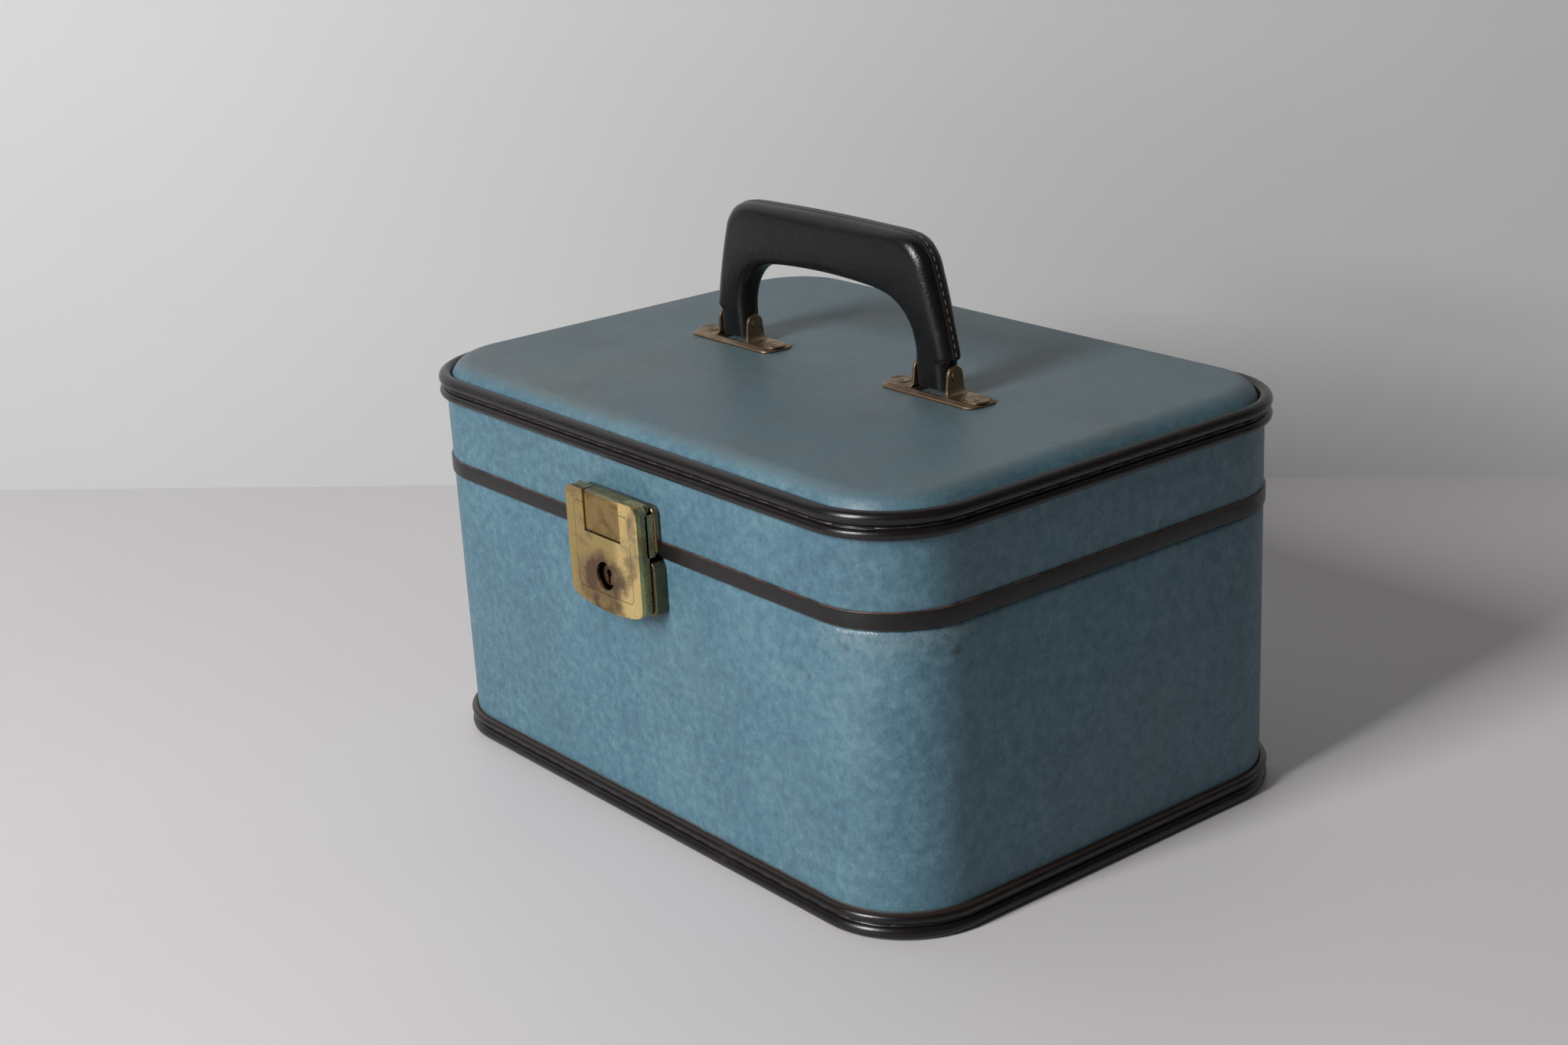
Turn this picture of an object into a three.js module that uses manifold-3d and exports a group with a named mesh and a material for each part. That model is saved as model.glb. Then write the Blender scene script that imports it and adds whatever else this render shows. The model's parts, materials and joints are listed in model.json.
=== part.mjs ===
import * as THREE from 'three';
import { mergeVertices } from 'three/addons/utils/BufferGeometryUtils.js';
import Module from 'manifold-3d';

// A hard travelling vanity case with a hinged lid, in millimetres, +Z up.
// The lock side faces -Y, the hinges +Y, and the case stands on Z = 0.

const wasm = await Module();
wasm.setup();

// Case shell, measured over the leatherette
const caseWidth = 330;
const caseDepth = 235;
const cornerRadius = 39;
const baseHeight = 130;
const lidHeight = 47.5;
const seamGap = 0.3;
const rimRounding = 2.5;
const coverThickness = 0.7;
const boardThickness = 4;
const floorThickness = 4;
const floorCoverHeight = 1.1;
const lidBoardThickness = 3.2;
const crownRise = 4.5;
const crownDrop = 6.3;
const crownWidth = 11;
const crownPower = 3.2;
const crownShares = [0, 0.12, 0.3, 0.58, 1];
const cornerSteps = 6;
const roundingSteps = 2;

// Gaps: a glue line between layers, a fit between pieces that only meet, and play where pieces move
const glueGap = 0.1;
const fitGap = 0.3;
const runningGap = 0.6;
const pinGap = 0.1;
const overrun = 5;
const roundSteps = 12;

// Corded edge trim: a large cord round the edge, a stitched strip and a small cord on the wall
const edgeCordRadius = 3;
const sideCordRadius = 2.2;
const cordReach = 3.3;
const sideCordHeight = 9.1;
const trimStripReach = 1.3;
const cordStep = Math.PI / 5;
const cordFlatHalfAngle = Math.PI / 10;
const edgeCordSteps = 8;
const sideCordSteps = 4;

// Closure band round the lower edge of the lid
const bandHeight = 7.3;
const bandProud = 0.9;
const bandChamfer = 0.4;
const bandEndGap = 0.8;

// Inner rim of the base, and the linings
const rimThickness = 2.5;
const rimDepth = 30;
const rimStand = 6.5;
const rimPlay = 0.6;
const rimChamfer = 0.8;
const liningThickness = 1.1;
const lidPaddingHeight = 7.5;

// Elastic pocket on the back lining
const pocketWidth = 224;
const pocketTopGap = 15;
const pocketFloorGap = 6;
const pocketThickness = 4.6;
const pocketFoldDepth = 1.5;
const pocketFolds = 13;
const pocketBulge = 1.8;
const pocketColumns = 52;
const pocketRowShares = [0, 0.25, 0.6, 0.88, 1];
const pocketEdgeShare = 0.35;
const pocketHemShare = 0.35;

// Mirror and its frame under the lid
const mirrorWidth = 210;
const mirrorDepth = 140;
const mirrorThickness = 3;
const mirrorCorner = 8;
const frameBorder = 8;
const frameLap = 2;
const frameLip = 1.1;
const frameCorner = 14;

// Hinges
const hingeSpacing = 190;
const hingeWidth = 34;
const hingeLeafHeight = 22;
const hingeLeafThickness = 1.2;
const hingeLeafCorner = 3;
const knuckleRadius = 2.6;
const knuckleMiddle = 12;
const hingePinRadius = 1.3;
const hingeRivetSpread = 20;
const hingeRivetDrop = 13;
const rivetShankRadius = 1.2;
const rivetHeadRadius = 2.4;
const rivetHeadHeight = 1;

// Handle mounts on the lid
const mountSpacing = 134;
const mountLength = 58;
const mountWidth = 17.5;
const mountThickness = 2;
const mountCorner = 4;
const mountBevel = 0.9;
const mountWindowWidth = 11;
const lugThickness = 1.3;
const lugWidth = 10.5;
const lugShoulder = 5.4;
const lugEyeRadius = 3.9;
const lugFlare = 2.6;
const pivotHeight = 7.9;
const handlePinRadius = 1.4;
const handlePinHeadRadius = 2.2;
const handlePinHeadHeight = 0.6;
const mountRivetSpread = 47;
const dimpleRadius = 4.3;
const dimpleDepth = 0.7;
const clinchRadius = 2.2;
const clinchHeight = 0.8;

// Handle: rise of the grip over the pivots, and the legs between the lugs
const handleRise = 58;
const legWidth = 18.4;
const legTail = 6;
const legPlay = 0.5;
const handleThickness = 15.5;
const sectionSteps = 12;
const sectionPower = 2.5;
const footShare = 0.9;
const coreWidth = 8;
const coreThickness = 2.6;
const coreTail = 0.8;

// Half of the handle from the leg's foot to the middle of the grip: the inner and the outer edge, across as
// shares of half the mount spacing and up as shares of the handle's rise, then the share of its thickness
const handleShares = [
  [0.863, 0.091, 1.137, 0.091, 0.775],
  [0.866, 0.13, 1.165, 0.124, 0.785],
  [0.858, 0.215, 1.15, 0.22, 0.806],
  [0.826, 0.33, 1.116, 0.37, 0.852],
  [0.756, 0.435, 1.073, 0.54, 0.903],
  [0.655, 0.505, 1.025, 0.71, 0.935],
  [0.53, 0.54, 0.965, 0.866, 0.968],
  [0.37, 0.558, 0.825, 0.976, 0.985],
  [0.19, 0.568, 0.46, 0.996, 1],
  [0, 0.572, 0, 1, 1],
];

// Lock case on the base
const lockCaseWidth = 55;
const lockCaseHeight = 24;
const lockCaseDepth = 6;
const lockSeamGap = 0.6;
const lockSheet = 1.2;
const lockCorner = 3.5;
const lockPostRadius = 2.4;
const lockPostSpread = 43;
const lockRailThickness = 1.2;

// Lid plate of the lock, with the strap that carries the hasp
const lidPlateWidth = 51;
const lidPlateHeight = 22;
const lidPlateDepth = 3.3;
const strapWidth = 25.2;
const strapLength = 17.6;
const strapBend = 1.4;
const strapKnuckleRadius = 2.1;
const haspPinRadius = 0.9;
const haspPivotOut = 6.1;
const haspPivotDrop = 0.6;
const lidPlateRivetSpread = 38;

// Hasp: the front shell of the lock
const haspWidth = 51;
const haspHeight = 49;
const haspBulge = 2.6;
const haspDepth = 5.4;
const haspStandOff = 0.6;
const haspTopOver = 2.2;
const haspCorner = 4.5;
const haspBevel = 1.1;
const haspNotchGap = 0.4;
const haspKnuckleInset = 1.8;
const keyholeOpeningRadius = 6.2;
const keyBelowSeam = 11.4;

// Staple on the hasp, and the lock work inside the case
const stapleAcross = 15;
const stapleThickness = 3;
const stapleHeight = 9;
const stapleReach = 4.6;
const stapleEyeHeight = 4.4;
const stapleEyeDepth = 1.8;
const stapleTip = 1.3;
const stapleFlange = 8;
const stapleFlangeThickness = 0.8;
const barrelRadius = 4.7;
const barrelRecess = 2;
const barrelFlange = 0.5;
const barrelFlangeThickness = 1.4;
const camRadius = 3.6;
const camPinRadius = 0.8;
const camPlay = 0.3;
const keyholeRadius = 1.7;
const keyholeSlotWidth = 1.5;
const keyholeSlotLength = 4;
const keyholeDepth = 2.2;
const boltThickness = 1.2;
const boltTailLength = 9;
const boltLeadLength = 8;
const boltNoseHeight = 3.2;
const boltNoseGap = 1;
const boltBlockLength = 2.1;

// Places worked out from the sizes above
const frontFace = -caseDepth / 2;
const backFace = caseDepth / 2;
const boardOuter = -(coverThickness + glueGap);
const boardInner = boardOuter - boardThickness;
const liningOuter = boardInner - glueGap;
const liningInner = liningOuter - liningThickness;
const edgeCordCentre = edgeCordRadius * Math.cos(cordFlatHalfAngle);
const edgeCordTop = edgeCordCentre + edgeCordRadius;
const panelEdge = cordReach - 2 * edgeCordRadius - fitGap;
const baseTop = baseHeight - seamGap / 2;
const lidBottom = baseHeight + seamGap / 2;
const lidEdge = baseHeight + lidHeight;
const lidTop = lidEdge + crownRise;
const wallFoot = edgeCordTop + glueGap;
const lidWallTop = lidEdge - wallFoot;
const floorTop = floorCoverHeight + coverThickness + glueGap + floorThickness;
const rimOuter = boardInner - glueGap;
const rimTop = baseHeight + rimStand;
const rimFoot = baseTop - rimDepth;
const lidBoardTop = lidTop - coverThickness - glueGap;
const lidCeiling = lidBoardTop - lidBoardThickness - lidPaddingHeight;
const lidLiningFoot = rimTop + rimPlay + fitGap;
const hingeAxisY = backFace + fitGap + knuckleRadius;
const mountTop = lidTop + glueGap + mountThickness;
const pivotZ = mountTop + pivotHeight;
const lugInner = legWidth / 2 + legPlay;
const lockCaseFront = frontFace - glueGap - lockCaseDepth;
const lockCaseTop = baseHeight - lockSeamGap;
const lidPlateFoot = baseHeight + lockSeamGap;
const lidPlateFront = frontFace - glueGap - lidPlateDepth;
const lidPlateTop = lidPlateFoot + lidPlateHeight;
const haspPivotY = frontFace - haspPivotOut;
const haspPivotZ = lidPlateTop - haspPivotDrop;
const haspBack = lockCaseFront - haspStandOff;
const haspFront = haspBack - haspDepth;
const haspTop = haspPivotZ + haspTopOver;
const keyZ = baseHeight - keyBelowSeam;
const caseShift = -(haspFront + hingeAxisY + knuckleRadius) / 2;

// Finishes
function finish(color, roughness, metalness) {
  return new THREE.MeshStandardMaterial({ color, roughness, metalness });
}

const finishes = {
  leatherette: finish(0x5f8fa2, 0.55, 0),
  board: finish(0x9a7a55, 0.85, 0),
  trim: finish(0x2f2b2b, 0.45, 0),
  lining: finish(0xb9c4cc, 0.8, 0),
  brass: finish(0xb09a66, 0.35, 1),
  steel: finish(0x8d8f92, 0.35, 1),
  leather: finish(0x252322, 0.4, 0),
  mirror: finish(0xd8dde0, 0.05, 1),
};

const caseGroup = new THREE.Group();

function addPiece(name, geometry, material) {
  geometry.computeVertexNormals();
  const mesh = new THREE.Mesh(geometry, material);
  mesh.name = name;
  caseGroup.add(mesh);
}

// The case's outline in plan, counter-clockwise, at a distance outside the leatherette
function outline(offset, z) {
  const centreX = caseWidth / 2 - cornerRadius;
  const centreY = caseDepth / 2 - cornerRadius;
  const corners = [[centreX, centreY], [-centreX, centreY], [-centreX, -centreY], [centreX, -centreY]];
  const ring = [];
  corners.forEach(([x, y], quarter) => {
    for (let step = 0; step <= cornerSteps; step += 1) {
      const angle = (quarter + step / cornerSteps) * Math.PI / 2;
      const radius = cornerRadius + offset;
      ring.push(new THREE.Vector3(x + radius * Math.cos(angle), y + radius * Math.sin(angle), z));
    }
  });
  return ring;
}

// A closed skin through rings of points: looped, or closed by a fan at each end
function skin(rings, looped) {
  const size = rings[0].length;
  const points = rings.flat();
  const faces = [];
  const bands = looped ? rings.length : rings.length - 1;
  for (let band = 0; band < bands; band += 1) {
    const low = band * size;
    const high = ((band + 1) % rings.length) * size;
    for (let i = 0; i < size; i += 1) {
      const next = (i + 1) % size;
      faces.push(low + i, low + next, high + next, low + i, high + next, high + i);
    }
  }
  if (!looped) {
    for (const [start, turned] of [[0, true], [(rings.length - 1) * size, false]]) {
      const centre = new THREE.Vector3();
      points.slice(start, start + size).forEach((point) => centre.addScaledVector(point, 1 / size));
      points.push(centre);
      for (let i = 0; i < size; i += 1) {
        const edge = [start + i, start + (i + 1) % size];
        faces.push(points.length - 1, ...(turned ? edge.reverse() : edge));
      }
    }
  }
  const geometry = new THREE.BufferGeometry().setFromPoints(points);
  geometry.setIndex(faces);
  return geometry;
}

const hoop = (profile) => skin(profile.map(([offset, z]) => outline(offset, z)), true);
const tub = (profile) => skin(profile.map(([offset, z]) => outline(offset, z)), false);

// Solids for joining and cutting
function solid(geometry) {
  const bare = new THREE.BufferGeometry().setAttribute('position', geometry.attributes.position);
  bare.setIndex(geometry.index);
  const welded = mergeVertices(bare);
  return new wasm.Manifold(new wasm.Mesh({
    numProp: 3,
    vertProperties: welded.attributes.position.array,
    triVerts: new Uint32Array(welded.index.array),
  }));
}

function surface(body) {
  const { vertProperties, triVerts } = body.getMesh();
  const geometry = new THREE.BufferGeometry();
  geometry.setAttribute('position', new THREE.BufferAttribute(vertProperties, 3));
  geometry.setIndex(new THREE.BufferAttribute(triVerts, 1));
  return geometry;
}

const joined = (bodies) => bodies.reduce((whole, body) => whole.add(body));
const cut = (body, tools) => tools.reduce((rest, tool) => rest.subtract(tool), body);

function block([x0, x1], [y0, y1], [z0, z1]) {
  const box = new THREE.BoxGeometry(x1 - x0, y1 - y0, z1 - z0);
  return solid(box.translate((x0 + x1) / 2, (y0 + y1) / 2, (z0 + z1) / 2));
}

// Round bars along each axis, from one end to the other
function barAlongX(radius, [x0, x1], y, z) {
  const bar = new THREE.CylinderGeometry(radius, radius, x1 - x0, roundSteps).rotateZ(Math.PI / 2);
  return solid(bar.translate((x0 + x1) / 2, y, z));
}

function barAlongY(radius, x, [y0, y1], z) {
  const bar = new THREE.CylinderGeometry(radius, radius, y1 - y0, roundSteps);
  return solid(bar.translate(x, (y0 + y1) / 2, z));
}

function barAlongZ(radius, x, y, [z0, z1]) {
  const bar = new THREE.CylinderGeometry(radius, radius, z1 - z0, roundSteps).rotateX(Math.PI / 2);
  return solid(bar.translate(x, y, (z0 + z1) / 2));
}

// A rivet: shank and head, the head at the first end and set towards it
function rivetAlongY(x, [headY, tailY], z) {
  const towards = Math.sign(headY - tailY);
  const head = new THREE.CylinderGeometry(rivetShankRadius, rivetHeadRadius, rivetHeadHeight, roundSteps);
  if (towards < 0) head.rotateX(Math.PI);
  head.translate(x, headY + towards * rivetHeadHeight / 2, z);
  const shank = barAlongY(rivetShankRadius, x, [Math.min(headY, tailY), Math.max(headY, tailY)], z);
  return shank.add(solid(head));
}

function roundedRectangle(width, height, corner, midX, midY) {
  const shape = new THREE.Shape();
  const x = width / 2 - corner;
  const y = height / 2 - corner;
  shape.absarc(midX + x, midY + y, corner, 0, Math.PI / 2);
  shape.absarc(midX - x, midY + y, corner, Math.PI / 2, Math.PI);
  shape.absarc(midX - x, midY - y, corner, Math.PI, 3 * Math.PI / 2);
  shape.absarc(midX + x, midY - y, corner, 3 * Math.PI / 2, 2 * Math.PI);
  return shape;
}

// A plate cut from an outline, its far face bevelled; it grows from 0 along +Z of the outline's own frame
function plate(shape, thickness, bevel) {
  const settings = {
    depth: thickness - bevel,
    curveSegments: 4,
    bevelEnabled: bevel > 0,
    bevelThickness: bevel,
    bevelSize: bevel,
    bevelOffset: -bevel,
    bevelSegments: 1,
  };
  const body = solid(new THREE.ExtrudeGeometry(shape, settings));
  const reach = caseWidth;
  return bevel > 0 ? cut(body, [block([-reach, reach], [-reach, reach], [-reach, 0])]) : body;
}

// The same plate with its outline upright in X and Z, its bevelled face towards -Y
function uprightPlate(shape, back, thickness, bevel) {
  const geometry = surface(plate(shape, thickness, bevel)).rotateX(Math.PI / 2).translate(0, back, 0);
  return solid(geometry);
}

// Profiles of the shell as distance outside the leatherette, and height
function roundedCorner(offset, z, radius) {
  const corner = [];
  for (let step = 0; step <= roundingSteps; step += 1) {
    const angle = step / roundingSteps * Math.PI / 2;
    corner.push([offset - radius + radius * Math.cos(angle), z - radius + radius * Math.sin(angle)]);
  }
  return corner;
}

function baseWall() {
  const top = baseTop - coverThickness - glueGap;
  const rounding = rimRounding - coverThickness - glueGap;
  const corner = roundedCorner(boardOuter, top, rounding);
  return hoop([[boardInner, wallFoot], [boardOuter, wallFoot], ...corner, [boardInner, top]]);
}

function baseCover() {
  const outer = roundedCorner(0, baseTop, rimRounding);
  const inner = roundedCorner(-coverThickness, baseTop - coverThickness, rimRounding - coverThickness);
  const foot = [[-coverThickness, wallFoot], [0, wallFoot]];
  const lip = [[boardInner, baseTop], [boardInner, baseTop - coverThickness]];
  return hoop([...foot, ...outer, ...lip, ...inner.reverse()]);
}

function lidWall() {
  const foot = lidBottom + coverThickness + glueGap;
  return hoop([[boardInner, foot], [boardOuter, foot], [boardOuter, lidWallTop], [boardInner, lidWallTop]]);
}

function lidCover() {
  const lip = lidBottom + coverThickness;
  return hoop([
    [boardInner, lidBottom],
    [0, lidBottom],
    [0, lidWallTop],
    [-coverThickness, lidWallTop],
    [-coverThickness, lip],
    [boardInner, lip],
  ]);
}

const flatPanel = (low, high) => tub([[panelEdge, low], [panelEdge, high]]);

// The crowned lid panel: level in the middle, falling away to the trim
function crownedPanel(top, thickness) {
  const rise = crownShares.map((share) => {
    const offset = panelEdge - share * crownWidth;
    return [offset, top - crownDrop * (1 - share) ** crownPower];
  });
  const under = rise.map(([offset, z]) => [offset, z - thickness]).reverse();
  return tub([...under, ...rise]);
}

// The corded trim in profile, with the case's edge at height 0 and the wall above it
function trimProfile() {
  const edgeCordOffset = cordReach - edgeCordRadius;
  const sideCordOffset = cordReach - sideCordRadius;
  const start = Math.PI / 2 + cordFlatHalfAngle;
  const profile = [];
  for (let step = 0; step <= edgeCordSteps; step += 1) {
    const angle = start + step * cordStep;
    profile.push([
      edgeCordOffset + edgeCordRadius * Math.cos(angle),
      edgeCordCentre + edgeCordRadius * Math.sin(angle),
    ]);
  }
  profile.push([trimStripReach, edgeCordTop]);
  profile.push([trimStripReach, sideCordHeight - sideCordRadius]);
  for (let step = 0; step <= sideCordSteps; step += 1) {
    const angle = start - Math.PI + step / sideCordSteps * Math.PI;
    profile.push([
      sideCordOffset + sideCordRadius * Math.cos(angle),
      sideCordHeight + sideCordRadius * Math.sin(angle),
    ]);
  }
  profile.push([glueGap, sideCordHeight + sideCordRadius * Math.cos(cordFlatHalfAngle) - glueGap]);
  profile.push([glueGap, edgeCordTop]);
  return profile;
}

const baseTrim = () => hoop(trimProfile());
const lidTrim = () => hoop(trimProfile().map(([offset, z]) => [offset, lidEdge - z]).reverse());

// The closure band in three lengths, which stop short of the lock and the hinges
const bandLockEnd = lidPlateWidth / 2 + bandEndGap;
const bandHingeInner = hingeSpacing / 2 - hingeWidth / 2 - bandEndGap;
const bandHingeOuter = hingeSpacing / 2 + hingeWidth / 2 + bandEndGap;

function closureBand(spans) {
  const top = lidBottom + bandHeight;
  const strip = solid(hoop([
    [glueGap, lidBottom],
    [bandProud - bandChamfer, lidBottom],
    [bandProud, lidBottom + bandChamfer],
    [bandProud, top - bandChamfer],
    [bandProud - bandChamfer, top],
    [glueGap, top],
  ]));
  const keep = spans.map(([across, along]) => block(across, along, [lidBottom - overrun, top + overrun]));
  return strip.intersect(joined(keep));
}

const bandPlaces = {
  left: [
    [[-caseWidth, -bandLockEnd], [-caseDepth, overrun]],
    [[-caseWidth, -bandHingeOuter], [-overrun, caseDepth]],
  ],
  back: [[[-bandHingeInner, bandHingeInner], [0, caseDepth]]],
  right: [
    [[bandLockEnd, caseWidth], [-caseDepth, overrun]],
    [[bandHingeOuter, caseWidth], [-overrun, caseDepth]],
  ],
};

// The rim that stands up from the base and guides the lid home
function baseRim() {
  const inner = rimOuter - rimThickness;
  const free = rimOuter - rimPlay + glueGap;
  return hoop([
    [inner, rimFoot],
    [rimOuter, rimFoot],
    [rimOuter, baseTop],
    [free, baseTop + rimPlay],
    [free, rimTop - rimChamfer],
    [free - rimChamfer, rimTop],
    [inner + rimChamfer, rimTop],
    [inner, rimTop - rimChamfer],
  ]);
}

function baseLining() {
  const low = floorTop + glueGap;
  const top = rimFoot - fitGap;
  return tub([
    [liningOuter, low],
    [liningOuter, top],
    [liningInner, top],
    [liningInner, low + liningThickness],
  ]);
}

function lidLining() {
  const top = lidCeiling - liningThickness - glueGap;
  return hoop([
    [liningInner, lidLiningFoot],
    [liningOuter, lidLiningFoot],
    [liningOuter, top],
    [liningInner, top],
  ]);
}

const lidCeilingPad = () => tub([[liningOuter, lidCeiling - liningThickness], [liningOuter, lidCeiling]]);

// Gathered pocket: a flat back and a front in soft upright folds that fade towards the hem and the foot
function pocket() {
  const back = backFace + liningInner - glueGap;
  const foot = floorTop + liningThickness + pocketFloorGap;
  const pocketHeight = rimFoot - pocketTopGap - foot;
  const rings = [];
  for (let column = 0; column <= pocketColumns; column += 1) {
    const across = column / pocketColumns;
    const x = pocketWidth / 2 - across * pocketWidth;
    const edge = Math.sin(Math.PI * across) ** pocketEdgeShare;
    const fold = Math.cos(2 * Math.PI * pocketFolds * across) * pocketFoldDepth / 2;
    const front = pocketRowShares.map((share) => {
      const belly = Math.sin(Math.PI * share);
      const depth = pocketThickness + belly * pocketBulge * edge + (pocketHemShare + belly) * fold;
      return new THREE.Vector3(x, back - depth, foot + share * pocketHeight);
    });
    const rear = [pocketRowShares.at(-1), pocketRowShares[0]].map(
      (share) => new THREE.Vector3(x, back, foot + share * pocketHeight),
    );
    rings.push([...front, ...rear]);
  }
  return skin(rings, false);
}

// Mirror glass, face down under the lid, and the frame that holds it
const frameTop = lidCeiling - liningThickness - glueGap;
const glassTop = frameTop - glueGap;
const frameFoot = glassTop - mirrorThickness - glueGap - frameLip;

function mirrorGlass() {
  const shape = roundedRectangle(mirrorWidth, mirrorDepth, mirrorCorner, 0, 0);
  return surface(plate(shape, mirrorThickness, 0)).translate(0, 0, glassTop - mirrorThickness);
}

function mirrorFrame() {
  const width = mirrorWidth + 2 * frameBorder;
  const depth = mirrorDepth + 2 * frameBorder;
  const outer = roundedRectangle(width, depth, frameCorner, 0, 0);
  const height = frameTop - frameFoot;
  const body = solid(surface(plate(outer, height, frameLip)).rotateX(Math.PI).translate(0, 0, frameTop));
  const sightWidth = mirrorWidth - 2 * frameLap;
  const sightDepth = mirrorDepth - 2 * frameLap;
  const sight = plate(roundedRectangle(sightWidth, sightDepth, mirrorCorner, 0, 0), height + 2 * overrun, 0);
  const seat = roundedRectangle(mirrorWidth + 2 * fitGap, mirrorDepth + 2 * fitGap, mirrorCorner, 0, 0);
  return cut(body, [
    solid(surface(sight).translate(0, 0, frameFoot - overrun)),
    solid(surface(plate(seat, height + overrun, 0)).translate(0, 0, frameFoot + frameLip)),
  ]);
}

// Hinges: two leaves of rolled sheet on one pin
const hingePlaces = [['left', -1], ['right', 1]].map(([name, side]) => [name, side * hingeSpacing / 2]);
const hingeRivetPlaces = hingePlaces.flatMap(
  ([, x]) => [-1, 1].map((side) => x + side * hingeRivetSpread / 2),
);

function hingeLeaf(x, upward) {
  const half = hingeWidth / 2;
  const inner = knuckleMiddle / 2;
  const middle = baseHeight + upward * hingeLeafHeight / 2;
  const sheet = roundedRectangle(hingeWidth, hingeLeafHeight, hingeLeafCorner, x, middle);
  const leafFront = backFace + glueGap;
  const leaf = uprightPlate(sheet, leafFront + hingeLeafThickness, hingeLeafThickness, 0);
  const clear = knuckleRadius + fitGap;
  const outerSpans = [[x - half, x - inner - fitGap], [x + inner + fitGap, x + half]];
  const span = upward > 0 ? [[x - inner, x + inner]] : outerSpans;
  const openSpans = upward > 0 ? [[x - half - overrun, x - inner], [x + inner, x + half + overrun]]
    : [[x - inner - fitGap, x + inner + fitGap]];
  const reliefs = openSpans.map((open) => block(
    open,
    [backFace - overrun, backFace + 2 * overrun],
    [baseHeight - clear, baseHeight + clear],
  ));
  const knuckles = span.map((ends) => barAlongX(knuckleRadius, ends, hingeAxisY, baseHeight));
  const pinHole = barAlongX(
    hingePinRadius + pinGap,
    [x - half - overrun, x + half + overrun],
    hingeAxisY,
    baseHeight,
  );
  const rivetHoles = [-1, 1].map((side) => barAlongY(
    rivetShankRadius + pinGap,
    x + side * hingeRivetSpread / 2,
    [backFace - overrun, backFace + overrun],
    baseHeight + upward * hingeRivetDrop,
  ));
  return cut(joined([cut(leaf, reliefs), ...knuckles]), [pinHole, ...rivetHoles]);
}

function hingePin(x) {
  return barAlongX(hingePinRadius, [x - hingeWidth / 2, x + hingeWidth / 2], hingeAxisY, baseHeight);
}

function hingeRivet(x, upward) {
  const head = backFace + glueGap + hingeLeafThickness;
  return rivetAlongY(x, [head, backFace + boardInner], baseHeight + upward * hingeRivetDrop);
}

function hingeHoles(upward) {
  return hingeRivetPlaces.map((x) => barAlongY(
    rivetShankRadius + pinGap,
    x,
    [backFace - overrun - boardThickness, backFace + overrun],
    baseHeight + upward * hingeRivetDrop,
  ));
}

// Handle mounts: a bevelled plate with a window, two lugs bent up from it and two dimples for rivets
const mountPlaces = [['left', -1], ['right', 1]].map(([name, side]) => [name, side * mountSpacing / 2]);
const mountRivetPlaces = mountPlaces.flatMap(
  ([, x]) => [-1, 1].map((side) => x + side * mountRivetSpread / 2),
);

function lug(x, side) {
  const shape = new THREE.Shape();
  const half = lugWidth / 2;
  const shoulder = mountTop + lugShoulder;
  shape.moveTo(-half, lidTop + glueGap);
  shape.lineTo(half, lidTop + glueGap);
  shape.lineTo(half, shoulder);
  shape.lineTo(lugEyeRadius, shoulder);
  shape.absarc(0, pivotZ, lugEyeRadius, 0, Math.PI);
  shape.lineTo(-lugEyeRadius, shoulder);
  shape.lineTo(-half, shoulder);
  const bend = { depth: lugThickness, bevelEnabled: false, curveSegments: 5 };
  const sheet = new THREE.ExtrudeGeometry(shape, bend);
  sheet.rotateX(Math.PI / 2).rotateZ(Math.PI / 2);
  const near = x + side * lugInner;
  sheet.translate(side > 0 ? near : near - lugThickness, 0, 0);
  const flare = new THREE.Shape();
  const outer = side * lugThickness;
  flare.moveTo(0, 0);
  flare.lineTo(outer + side * lugFlare, 0);
  flare.quadraticCurveTo(outer, 0, outer, lugFlare);
  flare.lineTo(0, lugFlare);
  const root = new THREE.ExtrudeGeometry(flare, { depth: lugWidth, bevelEnabled: false, curveSegments: 4 });
  root.rotateX(Math.PI / 2).translate(near, lugWidth / 2, mountTop - glueGap);
  return solid(sheet).add(solid(root));
}

function handleMount(x) {
  const foot = lidTop + glueGap;
  const outer = roundedRectangle(mountLength, mountWidth, mountCorner, x, 0);
  const body = solid(surface(plate(outer, mountThickness, mountBevel)).translate(0, 0, foot));
  const halfWindow = mountWindowWidth / 2;
  const heights = [foot - overrun, mountTop + overrun];
  const window = block([x - lugInner, x + lugInner], [-halfWindow, halfWindow], heights);
  const holes = [-1, 1].flatMap((side) => {
    const at = x + side * mountRivetSpread / 2;
    return [
      barAlongZ(dimpleRadius, at, 0, [mountTop - dimpleDepth, mountTop + overrun]),
      barAlongZ(rivetShankRadius + pinGap, at, 0, heights),
    ];
  });
  const pinReach = lugInner + lugThickness + overrun;
  const pinHole = barAlongX(handlePinRadius + pinGap, [x - pinReach, x + pinReach], 0, pivotZ);
  return cut(joined([cut(body, [window, ...holes]), lug(x, -1), lug(x, 1)]), [pinHole]);
}

function handlePin(x) {
  const reach = lugInner + lugThickness + pinGap;
  const headEnd = reach + handlePinHeadHeight;
  return joined([
    barAlongX(handlePinRadius, [x - reach, x + reach], 0, pivotZ),
    barAlongX(handlePinHeadRadius, [x - headEnd, x - reach], 0, pivotZ),
    barAlongX(handlePinHeadRadius, [x + reach, x + headEnd], 0, pivotZ),
  ]);
}

function mountRivet(x) {
  const headFoot = mountTop - dimpleDepth;
  const boardUnder = lidBoardTop - lidBoardThickness;
  const head = new THREE.CylinderGeometry(rivetShankRadius, rivetHeadRadius, rivetHeadHeight, roundSteps);
  head.rotateX(Math.PI / 2).translate(x, 0, headFoot + rivetHeadHeight / 2);
  return joined([
    solid(head),
    barAlongZ(rivetShankRadius, x, 0, [boardUnder - clinchHeight, headFoot]),
    barAlongZ(clinchRadius, x, 0, [boardUnder - clinchHeight - glueGap, boardUnder - glueGap]),
  ]);
}

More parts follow.
